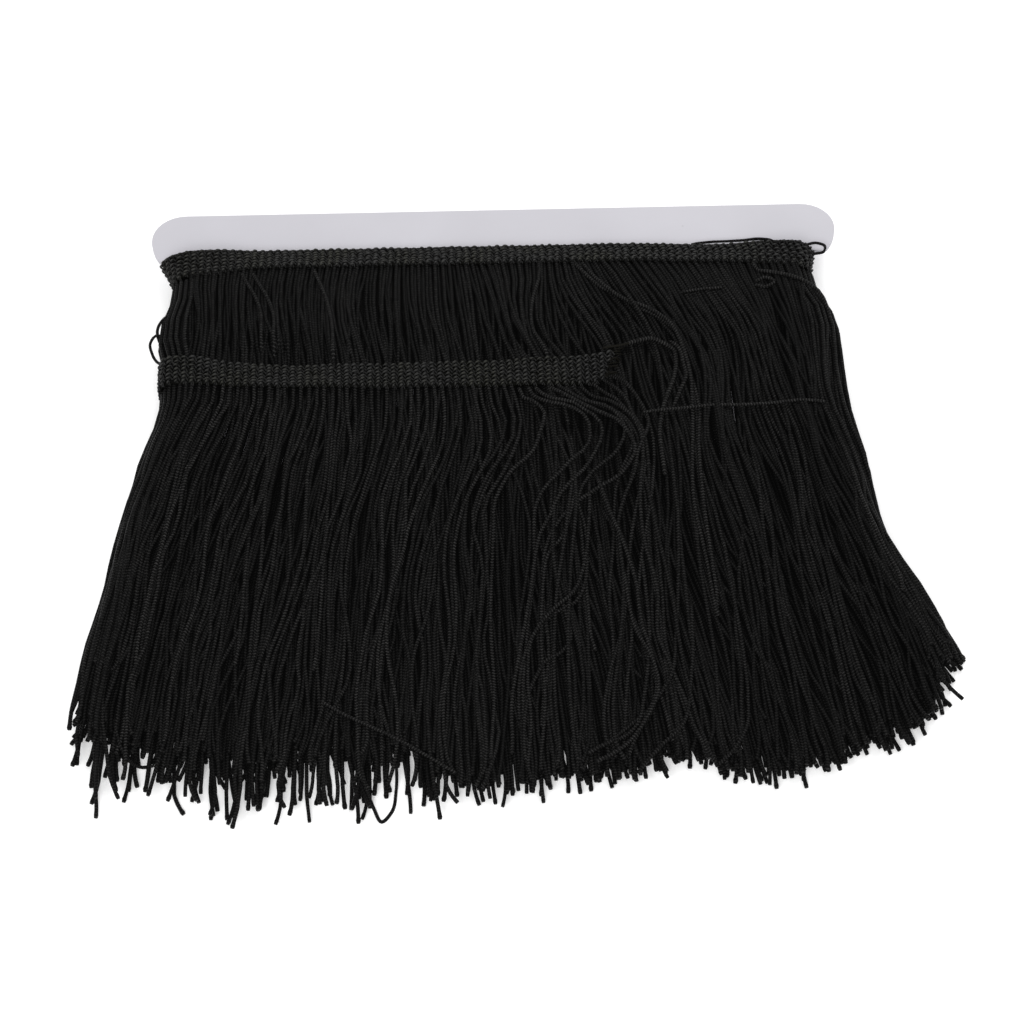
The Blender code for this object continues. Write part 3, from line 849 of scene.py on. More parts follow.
# %% Courses of the two headings
HEADING_WIDTH = 13.5
NECK = 134.5
TURNS = 7
INNER = 1.9  # from the card's middle to the innermost turn
STACK = {"front": 9.4, "end": 8.8, "back": 9.2, "front_upper": 3.4}  # height of all turns together
BEND_X = 134.0
CARD_MIDDLE = (CARD_UNDER + CARD_TOP) / 2
TURN_X, BACK_END = -132.2, 131.0  # where the last turn comes round the edge, and where its back part ends
END_COURSE = (  # x, down
    (TURN_X, 86.0), (-124, 87.0), (-112, 88.4), (-100, 89.2), (-85, 89.9), (-72, 90.0), (-41, 90.0),
    (-5, 89.9), (15, 90.0), (29, 90.0), (41, 88.9), (51, 87.8),
)
BACK_COURSE = ((TURN_X, 86.0), (BACK_END, 31.0))
END_LOW = 27.5  # its underside where it comes over the bend
END_THICK = 1.5
BACK_LIES = 2.6  # its stitches keep the band this far off the table
TURN_RADIUS = (END_LOW - BACK_LIES) / 2


def wound_top(x):
    """Distance down to the wound heading's upper edge: it slips down towards both ends."""
    left = 2.6 * np.clip((-x - 98.0) / 46.0, 0, 1) ** 2.2
    right = 1.3 * ease((x - 55.0) / 45.0) + 2.6 * np.clip((x - 114.0) / 32.0, 0, 1) ** 1.8
    return 21.3 + left + right


def wound_section(facing):
    """Width of the stack of turns, and how far its upper and lower edges stand off the card."""
    front, rear = np.maximum(facing, 0), np.maximum(-facing, 0)
    lower = STACK["end"] + front * (STACK["front"] - STACK["end"]) + rear * (STACK["back"] - STACK["end"])
    upper = lower + front * (STACK["front_upper"] - STACK["front"])
    side = 1 - np.abs(facing)
    upper, lower = upper + 1.3 * side, lower - 1.0 * side
    return np.sqrt(HEADING_WIDTH**2 - (lower - upper) ** 2), upper, lower


def back_middle(x):
    (x0, down0), (x1, down1) = BACK_COURSE
    return down0 + (down1 - down0) * (x - x0) / (x1 - x0)


print("wound heading:", TURNS, "turns; last turn ends at x", END_COURSE[-1][0], "mm")

# %% [markdown]
# ## The strands underneath
#
# The whole thing lies on its back strands, so those are laid first, from the table up: first the last
# turn's, which leave its slanting heading, then the wound turns' from the outermost to the innermost.
# Nobody sees most of them, but they hold the card up and they show at the tips.

# %% What changes from turn to turn
PHASES = (0.0, 0.333, 0.667, 0.167, 0.5, 0.833, 0.4)  # where each turn's first strand comes
TURN_PAINTED_SHADE = (0.6, 0.6, 0.65, 0.7, 0.75, 0.8, 0.82)  # the inner turns are painted darker, as painted shade deep in the heap
TURN_PRESS = (1.4, 1.4, 1.4, 1.3, 0.9, 0.6, 0.5)  # room that a strand takes up, innermost turn first
CALM_TURNS = 3  # the innermost turns lie flat and even on the card
CALM = (0.04, (0.15, 80.0, 150.0), (12.0, 0.0))  # wander, shared ripples and bunches of a comb
BACK_HABITS = (1.4, (2.0, 45.0, 120.0), (13.0, 0.3))
FRONT_HABITS = (1.4, (1.6, 40.0, 100.0), (12.0, 0.3))
EARLY_SHARE = 0.16


def shared_out(x_start):
    """The plain fan: strands from these places on the heading share out the width between the sides."""
    share = (x_start[:, None] + NECK) / (2 * NECK)

    def shape(down):
        left, right = sides(down)
        return left + (right - left) * share

    return shape


def wound_comb(turn, phase, hangs, shape_of, shorter, habits, root_z, most, **laid):
    """Lays the comb of one wound turn; its strands begin hangs mm below the heading's upper edge."""
    calm = turn < CALM_TURNS
    start = heading_x(-NECK, NECK, PHASES[turn] + phase, 0.05 if calm else 0.35)
    early_share = 0.0 if calm else EARLY_SHARE
    habits = CALM if calm else habits
    x, down = comb(start, wound_top(start) + hangs, shape_of(start), shorter, *habits, early_share)
    return lay_comb(x, down, np.full(len(start), root_z), most, **laid)


left, right = sides(np.array([34.0, 250.0]))
print("the fan is %.0f mm wide at the top and %.0f mm at the tips" % tuple(right - left))

# %% Strands that hang from a bend
LEFT_FOOT, RIGHT_FOOT = 243.0, 219.0  # how far down the strands at each side reach
CARD_FOOT = 125.0  # how far down the card's lower edge lies
BEND_DOWN, LAST_BEND_DOWN = 38.0, 92.2  # how far down the strands of the bends begin
HANGING = 26.0  # over this length a strand passes from the bend's own round to the heap's side
DRAWN_IN_FROM, DRAWN_IN_OVER, DRAWN_IN = 118.0, 90.0, 13  # low down some move in from the side
MAKES_ROOM = 0.13  # how much the left side is drawn in under the last turn
BESIDE_CARD, CLEAR_OF_CARD = 2.5, 0.9  # this near the card's height strands pass this far outside it
FALLS_OVER = 26.0  # over this length below the card a strand comes down on what lies there


def hanging_routes(side, radius, angles, nested, begins):
    """Routes from a bend of the heading down the rolled side of the heap: x, down and z.

    angles says where each leaves the bend, from 0 on the front to pi on the back; nested is how far out
    this turn lies in the heap's side; begins is (x, z, down) of the bend's middle."""
    count = len(angles)
    share = np.linspace(0, 1, int(STRAND_LENGTH) + 1)
    start = begins[2] + dice.uniform(-0.3, 0.3, count)
    longest = STRAND_LENGTH - 2 - 6 * dice.uniform(0, 1, count) ** 2
    foot = LEFT_FOOT if side < 0 else RIGHT_FOOT
    tip = np.minimum(start + longest, foot + dice.normal(0, 2.5, count))
    down = start[:, None] + (tip - start)[:, None] * share
    drift = Ripples(dice, 30.0, 70.0)(angles[:, None] * 12.0, down) * 0.09 * ease(share * 3)
    angle = angles[:, None] + drift + dice.normal(0, 0.05, (count, 1)) * ease(share * 2)
    angle = np.clip(angle, 0.02, math.pi - 0.02)
    edge = smooth(OUTLINE, down)[1 if side > 0 else 0]
    height = smooth(HEIGHTS, down)[0]
    if side < 0 and begins[2] < LAST_BEND_DOWN:
        nested = nested * (1 - MAKES_ROOM * ease((down - 66.0) / 20.0))
    x = edge - side * (0.4 + SIDE_ROUND * height * (1 - nested * np.sin(angle)))
    z = height / 2 * (1 + nested * np.cos(angle))
    hanging = 1 - ease((down - start[:, None]) / HANGING)
    x += (begins[0] + side * radius * np.sin(angle) - x) * hanging
    z += (begins[1] + radius * np.cos(angle) - z) * hanging
    lower = ease((down - DRAWN_IN_FROM) / DRAWN_IN_OVER)
    x -= side * lower * DRAWN_IN * dice.uniform(0, 1, count)[:, None] ** 1.5
    x = hemmed_in(x + wandering(count, len(share), 0.5), down)
    return (*cut_end(x, down, dice.normal(0, 1.6, count)), z)


def round_the_edge(side, *hanging):
    """Strands that hang from a bend: clear of the card's side edge, and below the card laid in the heap."""
    x, down, z = hanging_routes(side, *hanging)
    beside_card = (np.abs(z - CARD_MIDDLE) < BESIDE_CARD) & (down < CARD_FOOT + 0.5)
    x = np.where(beside_card, side * np.maximum(side * x, NECK + CLEAR_OF_CARD), x)
    loose = ease((down - (CARD_FOOT + 3.0)) / FALLS_OVER)
    resting = widened(heap.rest(x, down, PRESSED_RADIUS), 1)
    z = softened(z + (resting - z) * loose, STIFFNESS)
    z = z + (softened(z, 11.0) - z) * loose  # too stiff to step up and down between its neighbours
    free = np.argmax(loose[0] > 0.5)
    heap.add(x[:, free:], down[:, free:], z[:, free:], PRESSED_RADIUS)
    return strand_lines(x, down, z, 24)


print("strands at the sides reach", LEFT_FOOT, "and", RIGHT_FOOT, "mm down, the card", CARD_FOOT, "mm")

# %% The bends of the wound turns and of the last one
BENDS = ((-1, 2.0 - BEND_X), (1, BEND_X - 3.4))  # side, and x of the bend's middle


def bend_angles(radius, front):
    """Where strands leave a bend, on its front or back quarter."""
    count = max(2, round(math.pi * radius / (0.8 * STRAND_PITCH)))
    angles = (np.arange(count) + dice.uniform(0.2, 0.8)) * math.pi / count
    return angles[angles < math.pi / 2] if front else angles[angles >= math.pi / 2]


def both_sides(turn, front):
    """The strands at both bends of one wound turn, on its front or back quarter."""
    radius, batches = INNER + STACK["end"] * (turn + 0.5) / TURNS, []
    for side, bend_x in BENDS:
        angles = bend_angles(radius, front)
        if len(angles):
            begins = (bend_x, CARD_MIDDLE, BEND_DOWN)
            batches.append(round_the_edge(side, radius, angles, (turn + 1) / (TURNS + 0.1), begins))
    return batches


def last_bend(front):
    """The strands where the last turn comes round the left edge."""
    radius = TURN_RADIUS + 0.6
    begins = (TURN_X, TURN_RADIUS + BACK_LIES, LAST_BEND_DOWN)
    return round_the_edge(-1, radius, bend_angles(radius, front), 0.97, begins)


print("the wound turns bend round x", *[bend_x for _, bend_x in BENDS], "mm, the last one", TURN_X, "mm")

# %% Back strands
start = heading_x(TURN_X, BACK_END)
below_band = back_middle(start) + 6.0
x, down = comb(start, below_band, shared_out(start), 5.0, 1.3, *BACK_HABITS[1:])
back_batches = [lay_comb(x, down, np.full(len(start), 1.0), 20)]
side_batches = [last_bend(False)]
slanted = np.linspace(TURN_X, BACK_END, 120)
half = HEADING_WIDTH / 2
for place, middle in zip(slanted, back_middle(slanted)):
    heap.level(place - 1.2, place + 1.2, middle - half, middle + half, BACK_LIES)
for turn in reversed(range(TURNS)):
    root_z = CARD_MIDDLE - INNER - STACK["back"] * (turn + 0.5) / TURNS
    most = 22 if turn > 4 else 14
    back_batches.append(wound_comb(turn, 0.17, 13.0, shared_out, 4.0, BACK_HABITS, root_z, most))
    side_batches += both_sides(turn, False)
print("back strands:", sum(len(batch["lines"]) for batch in back_batches))
print("they lie %.1f mm high under the card" % heap.window(-115, 85, 60, 120).mean())

# %% [markdown]
# ## The strands on the front
#
# The card goes into the map as a solid plate. The inner turns' strands follow the plain fan. The two
# outermost turns follow guides: straight at the left, and leaning more and more to the right towards
# the right end, where a hand has swept them aside.

# %% Front strands of the wound turns
TOP_ROWS = (34, 44, 56, 70, 84, 110, 140, 180, 222, 265)
TOP_GUIDES = (
    (-134, -131, -132, -132, -132, -134, -142, -154, -164, -172, -177),
    (-100, -102, -103, -102, -100, -100, -101, -107, -117, -126, -132),
    (-60, -62, -63, -62, -60, -58, -58, -62, -68, -73, -77),
    (-20, -20, -19, -18, -16, -14, -12, -14, -16, -17, -18),
    (-4, -4, -1, 2, 5, 12, 14, 14, 15, 16, 17),
    (9, 9, 10, 9, 12, 19, 24, 27, 29, 31, 33),
    (20, 20, 20, 18, 18, 26, 32, 36, 40, 44, 47),
    (27, 27, 28, 33, 40, 45, 50, 54, 58, 62, 65),
    (48, 48, 54, 60, 68, 72, 76, 80, 85, 90, 94),
    (60, 60, 66, 73, 82, 87, 92, 98, 104, 110, 115),
    (77, 77, 83, 88, 93, 96, 100, 106, 114, 121, 128),
    (96, 96, 100, 106, 114, 118, 121, 128, 138, 148, 157),
    (120, 120, 122, 126, 130, 134, 138, 146, 160, 175, 188),
    (134, 131, 134, 137, 138, 139, 141, 151, 164, 187, 207),
)


def top_fan(x_start):
    """The fan of the outermost turns."""
    return following(TOP_GUIDES, TOP_ROWS, x_start)


heap.level(-NECK, NECK, 22.0, CARD_FOOT, CARD_TOP)
front_batches = []
for turn in range(TURNS):
    root_z = CARD_MIDDLE + INNER + STACK["front"] * (turn + 0.5) / TURNS - 0.2
    fan = top_fan if turn >= TURNS - 2 else shared_out
    laid = {
        "most": 29 if turn > 3 else 15,
        "squash": TURN_PRESS[turn],
        "tones": (0.7 * TURN_PAINTED_SHADE[turn], 1.35 * TURN_PAINTED_SHADE[turn]),
    }
    front_batches.append(wound_comb(turn, 0.0, 11.2, fan, 3.0, FRONT_HABITS, root_z, **laid))
    side_batches += both_sides(turn, True)
    over_card = heap.window(-115, 115, 85, 115).mean()
    print(f"front turn {turn + 1}: heap {over_card:.1f} mm high over the card")


# %% [markdown]
# ## Strands that lean across their neighbours
#
# A few strands of the top turn lean right across the others just below the heading. Each is drawn as a
# short list of places and laid after the others, so it rides over what it crosses.

# %% Single strands, drawn one by one
DRAWN_FALL = 0.22  # a single strand over the others may fall a little more steeply
DRAWN_POINTS = 44
# Strands that ride over the others are painted lighter, as painted light on top of the heap.
DRAWN_LIT_TONES = (1.2, 1.65)


def routed(points):
    """A smooth route through a few points (x, down), sampled every millimetre and cut to length."""
    points = np.array(points, float)
    key = run_along(points)
    run = np.arange(0, min(key[-1], STRAND_LENGTH + dice.uniform(-4, 4)), 1.0)
    return smooth(np.column_stack([key, points]), run)


def lay_route(points, start_z=None):
    """Lays one drawn strand. Without start_z it comes up from among the strands below."""
    x, down = routed(points)
    x, down = cut_end(x[None], down[None], dice.normal(0, 1.6, 1))
    hidden = heap.rest(x[:, :1], down[:, :1], PRESSED_RADIUS)[:, 0] - 2.5
    root = hidden if start_z is None else np.array([start_z])
    return strand_lines(x, down, lay(x, down, root, DRAWN_FALL), DRAWN_POINTS, DRAWN_LIT_TONES)


CROSSING = (
    ((20, 33), (20, 41), (17, 52), (16, 60), (17, 70), (21, 78), (26, 92), (31, 115), (34, 150), (38, 215)),
    ((35, 33), (40, 40), (45, 46), (53, 51), (62, 58), (72, 64), (80, 74), (82, 87), (85, 97), (87, 108),
     (86, 125), (87, 150), (90, 180), (95, 222)),
    ((39, 34), (44, 42), (50, 49), (57, 55), (68, 60), (77, 69), (81, 80), (84, 95), (84, 112), (83, 150),
     (88, 180), (92, 222)),
    ((48, 33), (54, 43), (58, 53), (62, 60), (66, 67), (70, 80), (72, 100), (74, 130), (80, 222)),
    ((114, 36), (116, 40), (121, 41), (128, 43), (135, 46), (142, 51), (146, 60), (147, 71), (148, 81),
     (148, 110), (153, 150), (166, 185), (182, 222)),
    ((-111, 36), (-108, 42), (-104, 50), (-102, 56), (-101.5, 66), (-102, 110), (-104, 150), (-110, 222)),
    ((-106, 36), (-103, 42), (-99, 50), (-96.5, 57), (-96, 68), (-96.5, 110), (-98, 150), (-104, 222)),
    ((-79, 35), (-76, 43), (-73, 52), (-71, 62), (-70, 78), (-70, 110), (-72, 150), (-77, 222)),
)
front_batches += [lay_route(route, 23.6) for route in CROSSING]
print("crossing strands:", len(CROSSING))

# %% [markdown]
# ## The last turn's heading on the front
#
# It lies on the strands of the turns below, so its height is read from the map along its course. The
# left end has to meet the bend round the edge, which stands at a fixed height.

# %% How high the last turn lies
ACROSS = np.linspace(0, 1, 5)  # from the band's upper edge to its lower one
END_X = END_COURSE[-1][0]
EDGE_RISE = 26.0  # over this length the band comes down from the bend to what it lies on
TILT = (  # x, how much higher the lower edge lies: the band's own strands prop it up
    (-132, 2.6), (-115, 3.2), (-97, 4.4), (-85, 4.8), (-68, 4.0), (-44, 2.8), (-18, 2.2), (6, 1.6),
    (28, -0.8), (40, -3.0), (51, -3.2),
)


def course_down(x):
    return smooth(END_COURSE, x)[0]


def footing(x, across):
    """Height of what lies under one line along the band, softened along it."""
    rows = course_down(x)[:, None] + (across - 0.5) * HEADING_WIDTH + np.linspace(-1.5, 1.5, 5)
    under = heap.rest(np.repeat(x[:, None], 5, axis=1), rows, 1.0) - 1.0
    return softened(under.mean(axis=1)[None], 9.0)[0]


along_front = np.arange(TURN_X, END_X + 1.1, 1.0)
front_footing = np.mean([footing(along_front, across) for across in ACROSS], axis=0)
print(f"the heap is {front_footing.min():.1f} to {front_footing.max():.1f} mm high under it")

# %% Its own height, for everything that touches it
def tilt(x):
    """How much higher the band's lower edge lies than its upper one: level at the bend."""
    return smooth(TILT, x)[0] * ease((x - TURN_X) / 14)


def end_low(x, across=1.0):
    """Height of the last turn's underside on the front, from its upper edge (0) to its lower (1)."""
    rests = np.interp(x, along_front, front_footing)
    near_bend = ease((TURN_X + EDGE_RISE - x) / EDGE_RISE)
    return rests + (END_LOW - rests) * near_bend + tilt(x) * (across - 0.5)


def under_heading(x, down):
    """How high strands may lie where the last turn's heading presses on them."""
    beside = np.abs(down - course_down(x)) - HEADING_WIDTH / 2
    free = np.maximum(beside, 0) + np.maximum(x - END_X - 1, 0) + np.maximum(TURN_X - x, 0)
    across = np.clip((down - course_down(x)) / HEADING_WIDTH + 0.5, 0, 1)
    return end_low(x, across) - 0.1 + 0.5 * free**1.5


for place in along_front:
    middle, top = float(course_down(place)), float(end_low(place, 0.5)) + END_THICK
    heap.level(place - 0.6, place + 0.6, middle - 6.6, middle + 6.6, top)
print("its underside is %.1f mm high at the cut end" % end_low(END_X, 0.5))

# %% [markdown]
# ## The last turn's strands
#
# At the left they hang straight. From the middle on they bow to the right, as they do where the cut end
# was pushed sideways, and swing back. The right-most dozen sweep out far past the cut end in an S. Those
# are drawn one by one, from the heading to the tip, each cut to the same length as all the others.

# %% Front strands of the last turn
END_ROWS = (98, 104, 110, 118, 126, 134, 142, 150, 160, 176, 200, 230, 265)
END_GUIDES = (
    (-132, -132, -135, -139, -143, -147, -151, -154, -157, -160, -164, -169.5, -174.5, -177.5),
    (-100, -100, -100, -102, -104, -106, -109, -111, -113, -116, -120, -126, -132, -136),
    (-60, -60, -60, -60, -61, -62, -63, -64, -66, -68, -71, -75, -79, -82),
    (-40, -40, -40, -40, -41, -43, -45, -48, -50, -52, -54, -56, -59, -61),
    (-22, -22, -21, -21, -22, -25, -28, -32, -35, -38, -39, -40, -42, -43),
    (-4, -4, -3, -1, 1, 2, 0, -3, -7, -11, -15, -17, -18, -18),
    (0, 0, 1, 4, 5, 3, -1, -4, -7, -9, -11, -12, -12, -12),
    (4, 4, 6, 8, 8, 6, 1, -4, -8, -10, -10, -9, -8, -7),
    (9, 9, 11, 12, 12, 9, 5, 1, -2, -4, -5, -4, -3, -3),
)
start = heading_x(TURN_X, 8.0)
below_band = course_down(start) + 6.2
fan = following(END_GUIDES, END_ROWS, start)
x, down = comb(start, below_band, fan, 0.0, 1.4, (1.4, 40.0, 90.0), (12.0, 0.3))
# The last turn's strands lie on top and are painted lighter than those below, as painted light.
end_batches = [lay_comb(x, down, end_low(start) + 0.5, tones=(0.82, 1.75))]
side_batches.append(last_bend(True))
print("last turn:", len(start), "plain strands")

# %% The swept strands
SWEEP = (  # the last turn's right-most strands, each from the heading's lower edge to its tip
    ((10, 98), (12, 103), (17, 105), (20, 109), (21, 113), (19, 118), (18, 122), (14, 130), (7, 136),
     (2, 143), (-1, 149), (-2, 162), (-3, 176), (-4, 200), (-3, 230), (-5, 262)),
    ((14, 98), (16, 102), (22, 106), (30, 108), (36, 111), (39, 114), (40, 119), (38, 127), (32, 133),
     (26, 139), (19, 146), (16, 152), (15, 162), (15, 177), (12, 200), (9, 230), (10, 268)),
    ((17, 98), (20, 102), (25, 105), (32, 106), (38, 110), (44, 114), (45, 121), (42, 128), (36, 138),
     (29, 145), (25, 150), (22, 157), (18, 163), (16, 170), (13, 190), (8, 215), (4, 240), (5, 262)),
    ((42, 95), (47, 101), (52, 105), (55, 110), (60, 116), (62, 121), (63, 130), (62, 140), (59, 152),
     (56, 166), (54, 185), (55, 205), (52, 230), (50, 258)),
    ((46, 93), (52, 100), (56, 106), (58, 113), (62, 120), (63, 124), (64, 134), (64, 146), (66, 165),
     (68, 190), (69, 215), (73, 232), (79, 250), (86, 264)),
    ((50, 92), (55, 97), (59, 102), (63, 110), (66, 118), (67, 128), (66, 140), (64, 155), (60, 175),
     (58, 195), (60, 215), (66, 235), (70, 255)),
    ((37, 97), (42, 102), (47, 104), (53, 109), (57, 113), (61, 121), (62, 130), (61, 140), (60, 152),
     (61, 168), (66, 190), (66, 211), (69, 219), (73, 230), (76, 238), (79, 249), (83, 258), (86, 265)),
    ((33, 97), (39, 104), (47, 108), (53, 112), (57, 117), (60, 124), (60, 130), (58, 137), (56, 144),
     (53, 151), (51, 158), (50, 172), (52, 190), (58, 208), (61, 217), (63, 224), (65, 231), (64, 236),
     (61, 243), (56, 250), (52, 261)),
    ((30, 97), (35, 104), (43, 107), (50, 110), (55, 116), (58, 123), (57, 130), (53, 137), (50, 146),
     (49, 158), (48, 172), (46, 190), (47, 215), (44, 240), (46, 262)),
    ((27, 97), (32, 102), (39, 106), (46, 108), (50, 111), (53, 115), (55, 120), (54, 124), (52, 128),
     (47, 133), (42, 136), (38, 141), (35, 146), (34, 153), (36, 159), (37, 175), (35, 189), (32, 194),
     (26, 197), (21, 200), (16, 205), (12, 211), (9, 220), (7, 245), (8, 266)),
    ((50, 91), (56, 98), (60, 104), (64, 112), (65, 115), (64, 121), (60, 130), (58, 140), (54, 149),
     (51, 158), (50, 165), (51, 174), (53, 190), (51, 205), (45, 225), (42, 245), (44, 262)),
    ((23, 98), (27, 101), (33, 105), (38, 108), (46, 112), (52, 116), (55, 120), (58, 126), (59, 130),
     (57, 134), (52, 141), (44, 145), (36, 150), (29, 156), (23, 163), (20, 170), (18, 190), (20, 215),
     (17, 240), (16, 262)),
)
end_batches += [lay_route(route, float(end_low(route[0][0])) + 0.5) for route in SWEEP]
print("swept strands:", len(SWEEP))

# %% [markdown]
# ## Strands that have slipped over the others
#
# In the middle of the heap some strands have been dragged sideways on their way to the tips. They are
# laid last, so they ride over what they cross.

# %% Tangled strands
TANGLED = (
    ((31, 120), (33, 140), (31, 155), (26, 168), (21, 173), (19, 180), (18, 190), (17, 210), (18, 235),
     (15, 266)),
    ((24, 150), (23, 175), (27, 198), (29, 205), (29, 211), (25, 216), (19, 219), (15, 225), (12, 231),
     (10, 240), (9, 255), (11, 270)),
    ((76, 150), (75, 185), (73, 210), (70, 228), (66, 234), (61, 241), (52, 248), (44, 255)),
    ((80, 190), (79, 225), (73, 250), (66, 256), (59, 263), (52, 269)),
    ((60, 175), (62, 210), (59, 235), (56, 247), (51, 252), (42, 256), (33, 260)),
    ((42, 150), (46, 158), (50, 164), (51, 172), (52, 185), (50, 210), (46, 240), (47, 264)),
    ((27, 114), (30, 121), (32, 130), (33, 150), (30, 180), (28, 220), (30, 262)),
    ((24, 116), (28, 126), (31, 135), (29, 160), (24, 190), (22, 225), (24, 264)),
    ((41, 136), (47, 156), (52, 169), (57, 186), (59, 204), (63, 219), (64, 234), (58, 247), (50, 261)),
    ((62, 140), (67, 167), (70, 181), (72, 192), (74, 209), (76, 223), (80, 244), (84, 259), (86, 266)),
    ((39, 140), (38, 163), (36, 177), (31, 190), (21, 199), (13, 210), (11, 226), (12, 245), (10, 266)),
    ((52, 180), (57, 208), (62, 218), (65, 232), (59, 246), (50, 257), (40, 264)),
    ((94, 165), (98, 195), (101, 218), (102, 236), (101, 248), (95, 259), (90, 266)),
    ((-28, 150), (-27, 180), (-31, 200), (-36, 215), (-37, 235), (-35, 255), (-36, 272)),
)
front_batches += [lay_route(route) for route in TANGLED]
print("tangled strands:", len(TANGLED))
print("strands on the front:", sum(len(batch["lines"]) for batch in front_batches + end_batches))

# %% [markdown]
# ## The knitted band
#
# Off the card the heading is a flat ribbon of knitting, 13.5 mm wide and about a millimetre thick. Here
# it is a thin closed shell: a ring of points at every station along its course, joined to the next
# ring. Its two edges rise and fall once for each strand, because that is where the knitting turns back.

# %% A closed band through rings of points
def band_mesh(name, bands, material):
    """One mesh of several bands. Each is (rings, closed); rings is (stations, points round, 3)."""
    points, faces, first = [], [], 0
    for rings, closed in bands:
        stations, around = rings.shape[:2]
        here = first + np.arange(stations * around).reshape(stations, around)
        beside, ahead = np.roll(here, -1, 1), np.roll(here, -1, 0)
        walls = np.stack([here, beside, np.roll(beside, -1, 0), ahead], axis=-1)
        faces += walls[: stations if closed else -1].reshape(-1, 4).tolist()
        if not closed:
            faces += [here[0][::-1].tolist(), here[-1].tolist()]
        points.append(rings.reshape(-1, 3))
        first += stations * around
    mesh = bpy.data.meshes.new(name)
    mesh.from_pydata(np.concatenate(points).tolist(), [], faces)
    shell = bmesh.new()
    shell.from_mesh(mesh)
    bmesh.ops.recalc_face_normals(shell, faces=shell.faces)
    shell.to_mesh(mesh)
    shell.free()
    mesh.polygons.foreach_set("use_smooth", [True] * len(mesh.polygons))
    mesh.materials.append(material)
    print(f"{name}: {len(bands)} band(s), {2 * len(mesh.polygons):,} triangles")
    return placed(name, mesh)


def scallop(run, across):
    """How far an edge of the band bulges out at this length along it, in millimetres."""
    bulge = 0.24 * np.cos(2 * math.pi * run / STRAND_PITCH)
    return np.where(across > 0.99, bulge, np.where(across < 0.01, -0.6 * bulge, 0.0))


# %% [markdown]
# ## The wound turns of the heading
#
# Seven turns of the band lie on one another round the card's neck. Their strands all come out at the
# lower edge, so the stack is thick there and thin at the upper edge, and the outermost turn slopes. Each
# turn is its own closed band, because their edges show as layers from below and at both ends.

# %% Places on a wound turn
STATION = STRAND_PITCH / 4
BEND_STATIONS = 14
LEFT_LEAN, RIGHT_LESS = 4.5, -3.6  # at the bends: upper edge further out; the right one is tighter


def wound_stations():
    """Round the neck: the bend's middle x, and the way the band faces there (x, z)."""
    across = np.arange(-BEND_X, BEND_X, STATION)
    bend = np.linspace(0, math.pi, BEND_STATIONS, endpoint=False)
    still, ones, corner = np.zeros(len(across)), np.ones(len(across)), np.full(BEND_STATIONS, BEND_X)
    middle = np.concatenate([across, corner, -across, -corner])
    facing_x = np.concatenate([still, np.sin(bend), still, -np.sin(bend)])
    facing_z = np.concatenate([ones, np.cos(bend), -ones, -np.cos(bend)])
    return middle, facing_x, facing_z


stations = wound_stations()


def wound_places(across, level, waver=0.0):
    """Places on a turn: across from 0 (upper edge) to 1, level from 0 (the card) to 1 (outermost)."""
    middle, facing_x, facing_z = stations
    turned = facing_z * (1 - 0.6 * ease((np.abs(middle) - 100.0) / 34.0))
    width, upper, lower = wound_section(turned)
    lift = INNER + (upper + (lower - upper) * across) * level
    leans = np.where(facing_x < 0, facing_x * LEFT_LEAN * (0.5 - across), facing_x * RIGHT_LESS)
    x = middle + facing_x * lift + leans * (0.2 + 0.8 * level)  # the inner turns are held by the card
    return x, wound_top(x) + width * across + waver, CARD_MIDDLE + facing_z * lift


print("the outermost turn is %.0f mm wide at its upper edge" % np.ptp(wound_places(0.0, 1.0)[0]))

# %% The wound bands
LINES = (0.0, 0.3, 0.7, 1.0)
walk = STATION * np.arange(len(stations[0]))
wound_bands = []
for turn in range(TURNS):
    waver = (0.35 if turn < TURNS - 1 else 0.0) * Ripples(dice, 60.0, 40.0, 4)(walk, 0.0 * walk)
    ring = []
    for level, lines in (((turn + 0.93) / TURNS, LINES), ((turn + 0.12) / TURNS, LINES[::-1])):
        for across in lines:
            edge = waver + scallop(walk + 1.1 * turn, across)
            ring.append(at(*wound_places(across, level, edge)))
    wound_bands.append((np.stack(ring, axis=1), True))
wound_ribbon = band_mesh("wound_heading_ribbon", wound_bands, ground_shade_look)

# %% [markdown]
# ## The last turn of the heading
#
# It runs from its cut end along the front, round the left edge and across the back at a slant. On the
# front it is as wavy as the strands it lies on. The cut end is not square: the upper edge is longer.

# %% The last band
CUT_SLANT = 4.6
BOXY = 0.6  # below 1 the bend round the edge gets squarer shoulders
EDGE_STATIONS = 22


def boxy(wave):
    return np.sign(wave) * np.abs(wave) ** BOXY


def last_places(across, lift):
    """Places along the last turn on one line across it, lift millimetres off its inner face."""
    front_x = np.arange(END_X, TURN_X, -STATION)
    back_x = np.arange(TURN_X, BACK_END, STATION)
    bend = np.linspace(0, math.pi, EDGE_STATIONS, endpoint=False)
    near_cut = np.exp(-(END_X - front_x) / 7.0)
    cut_x = front_x + near_cut * (0.4 - CUT_SLANT * across)
    radius = TURN_RADIUS + lift
    bend_z = TURN_RADIUS + BACK_LIES + radius * boxy(np.cos(bend))
    x = np.concatenate([cut_x, TURN_X - radius * boxy(np.sin(bend)), back_x])
    z = np.concatenate([end_low(cut_x, across) + lift, bend_z, np.full(len(back_x), BACK_LIES - lift)])
    down_in_bend = np.full(EDGE_STATIONS, float(course_down(TURN_X)))
    down = np.concatenate([course_down(front_x), down_in_bend, back_middle(back_x)])
    width = np.sqrt(HEADING_WIDTH**2 - np.where(z > CARD_TOP, tilt(x), 0) ** 2)
    return x, down + (across - 0.5) * width, z


ring = []
for lift, lines in ((1.05, ACROSS), (0.05, ACROSS[::-1])):
    for across in lines:
        x, down, z = last_places(across, lift)
        ring.append(at(x, down + scallop(STATION * np.arange(len(x)), across), z))
end_ribbon = band_mesh("end_heading_ribbon", [(np.stack(ring, axis=1), False)], ground_shade_look)
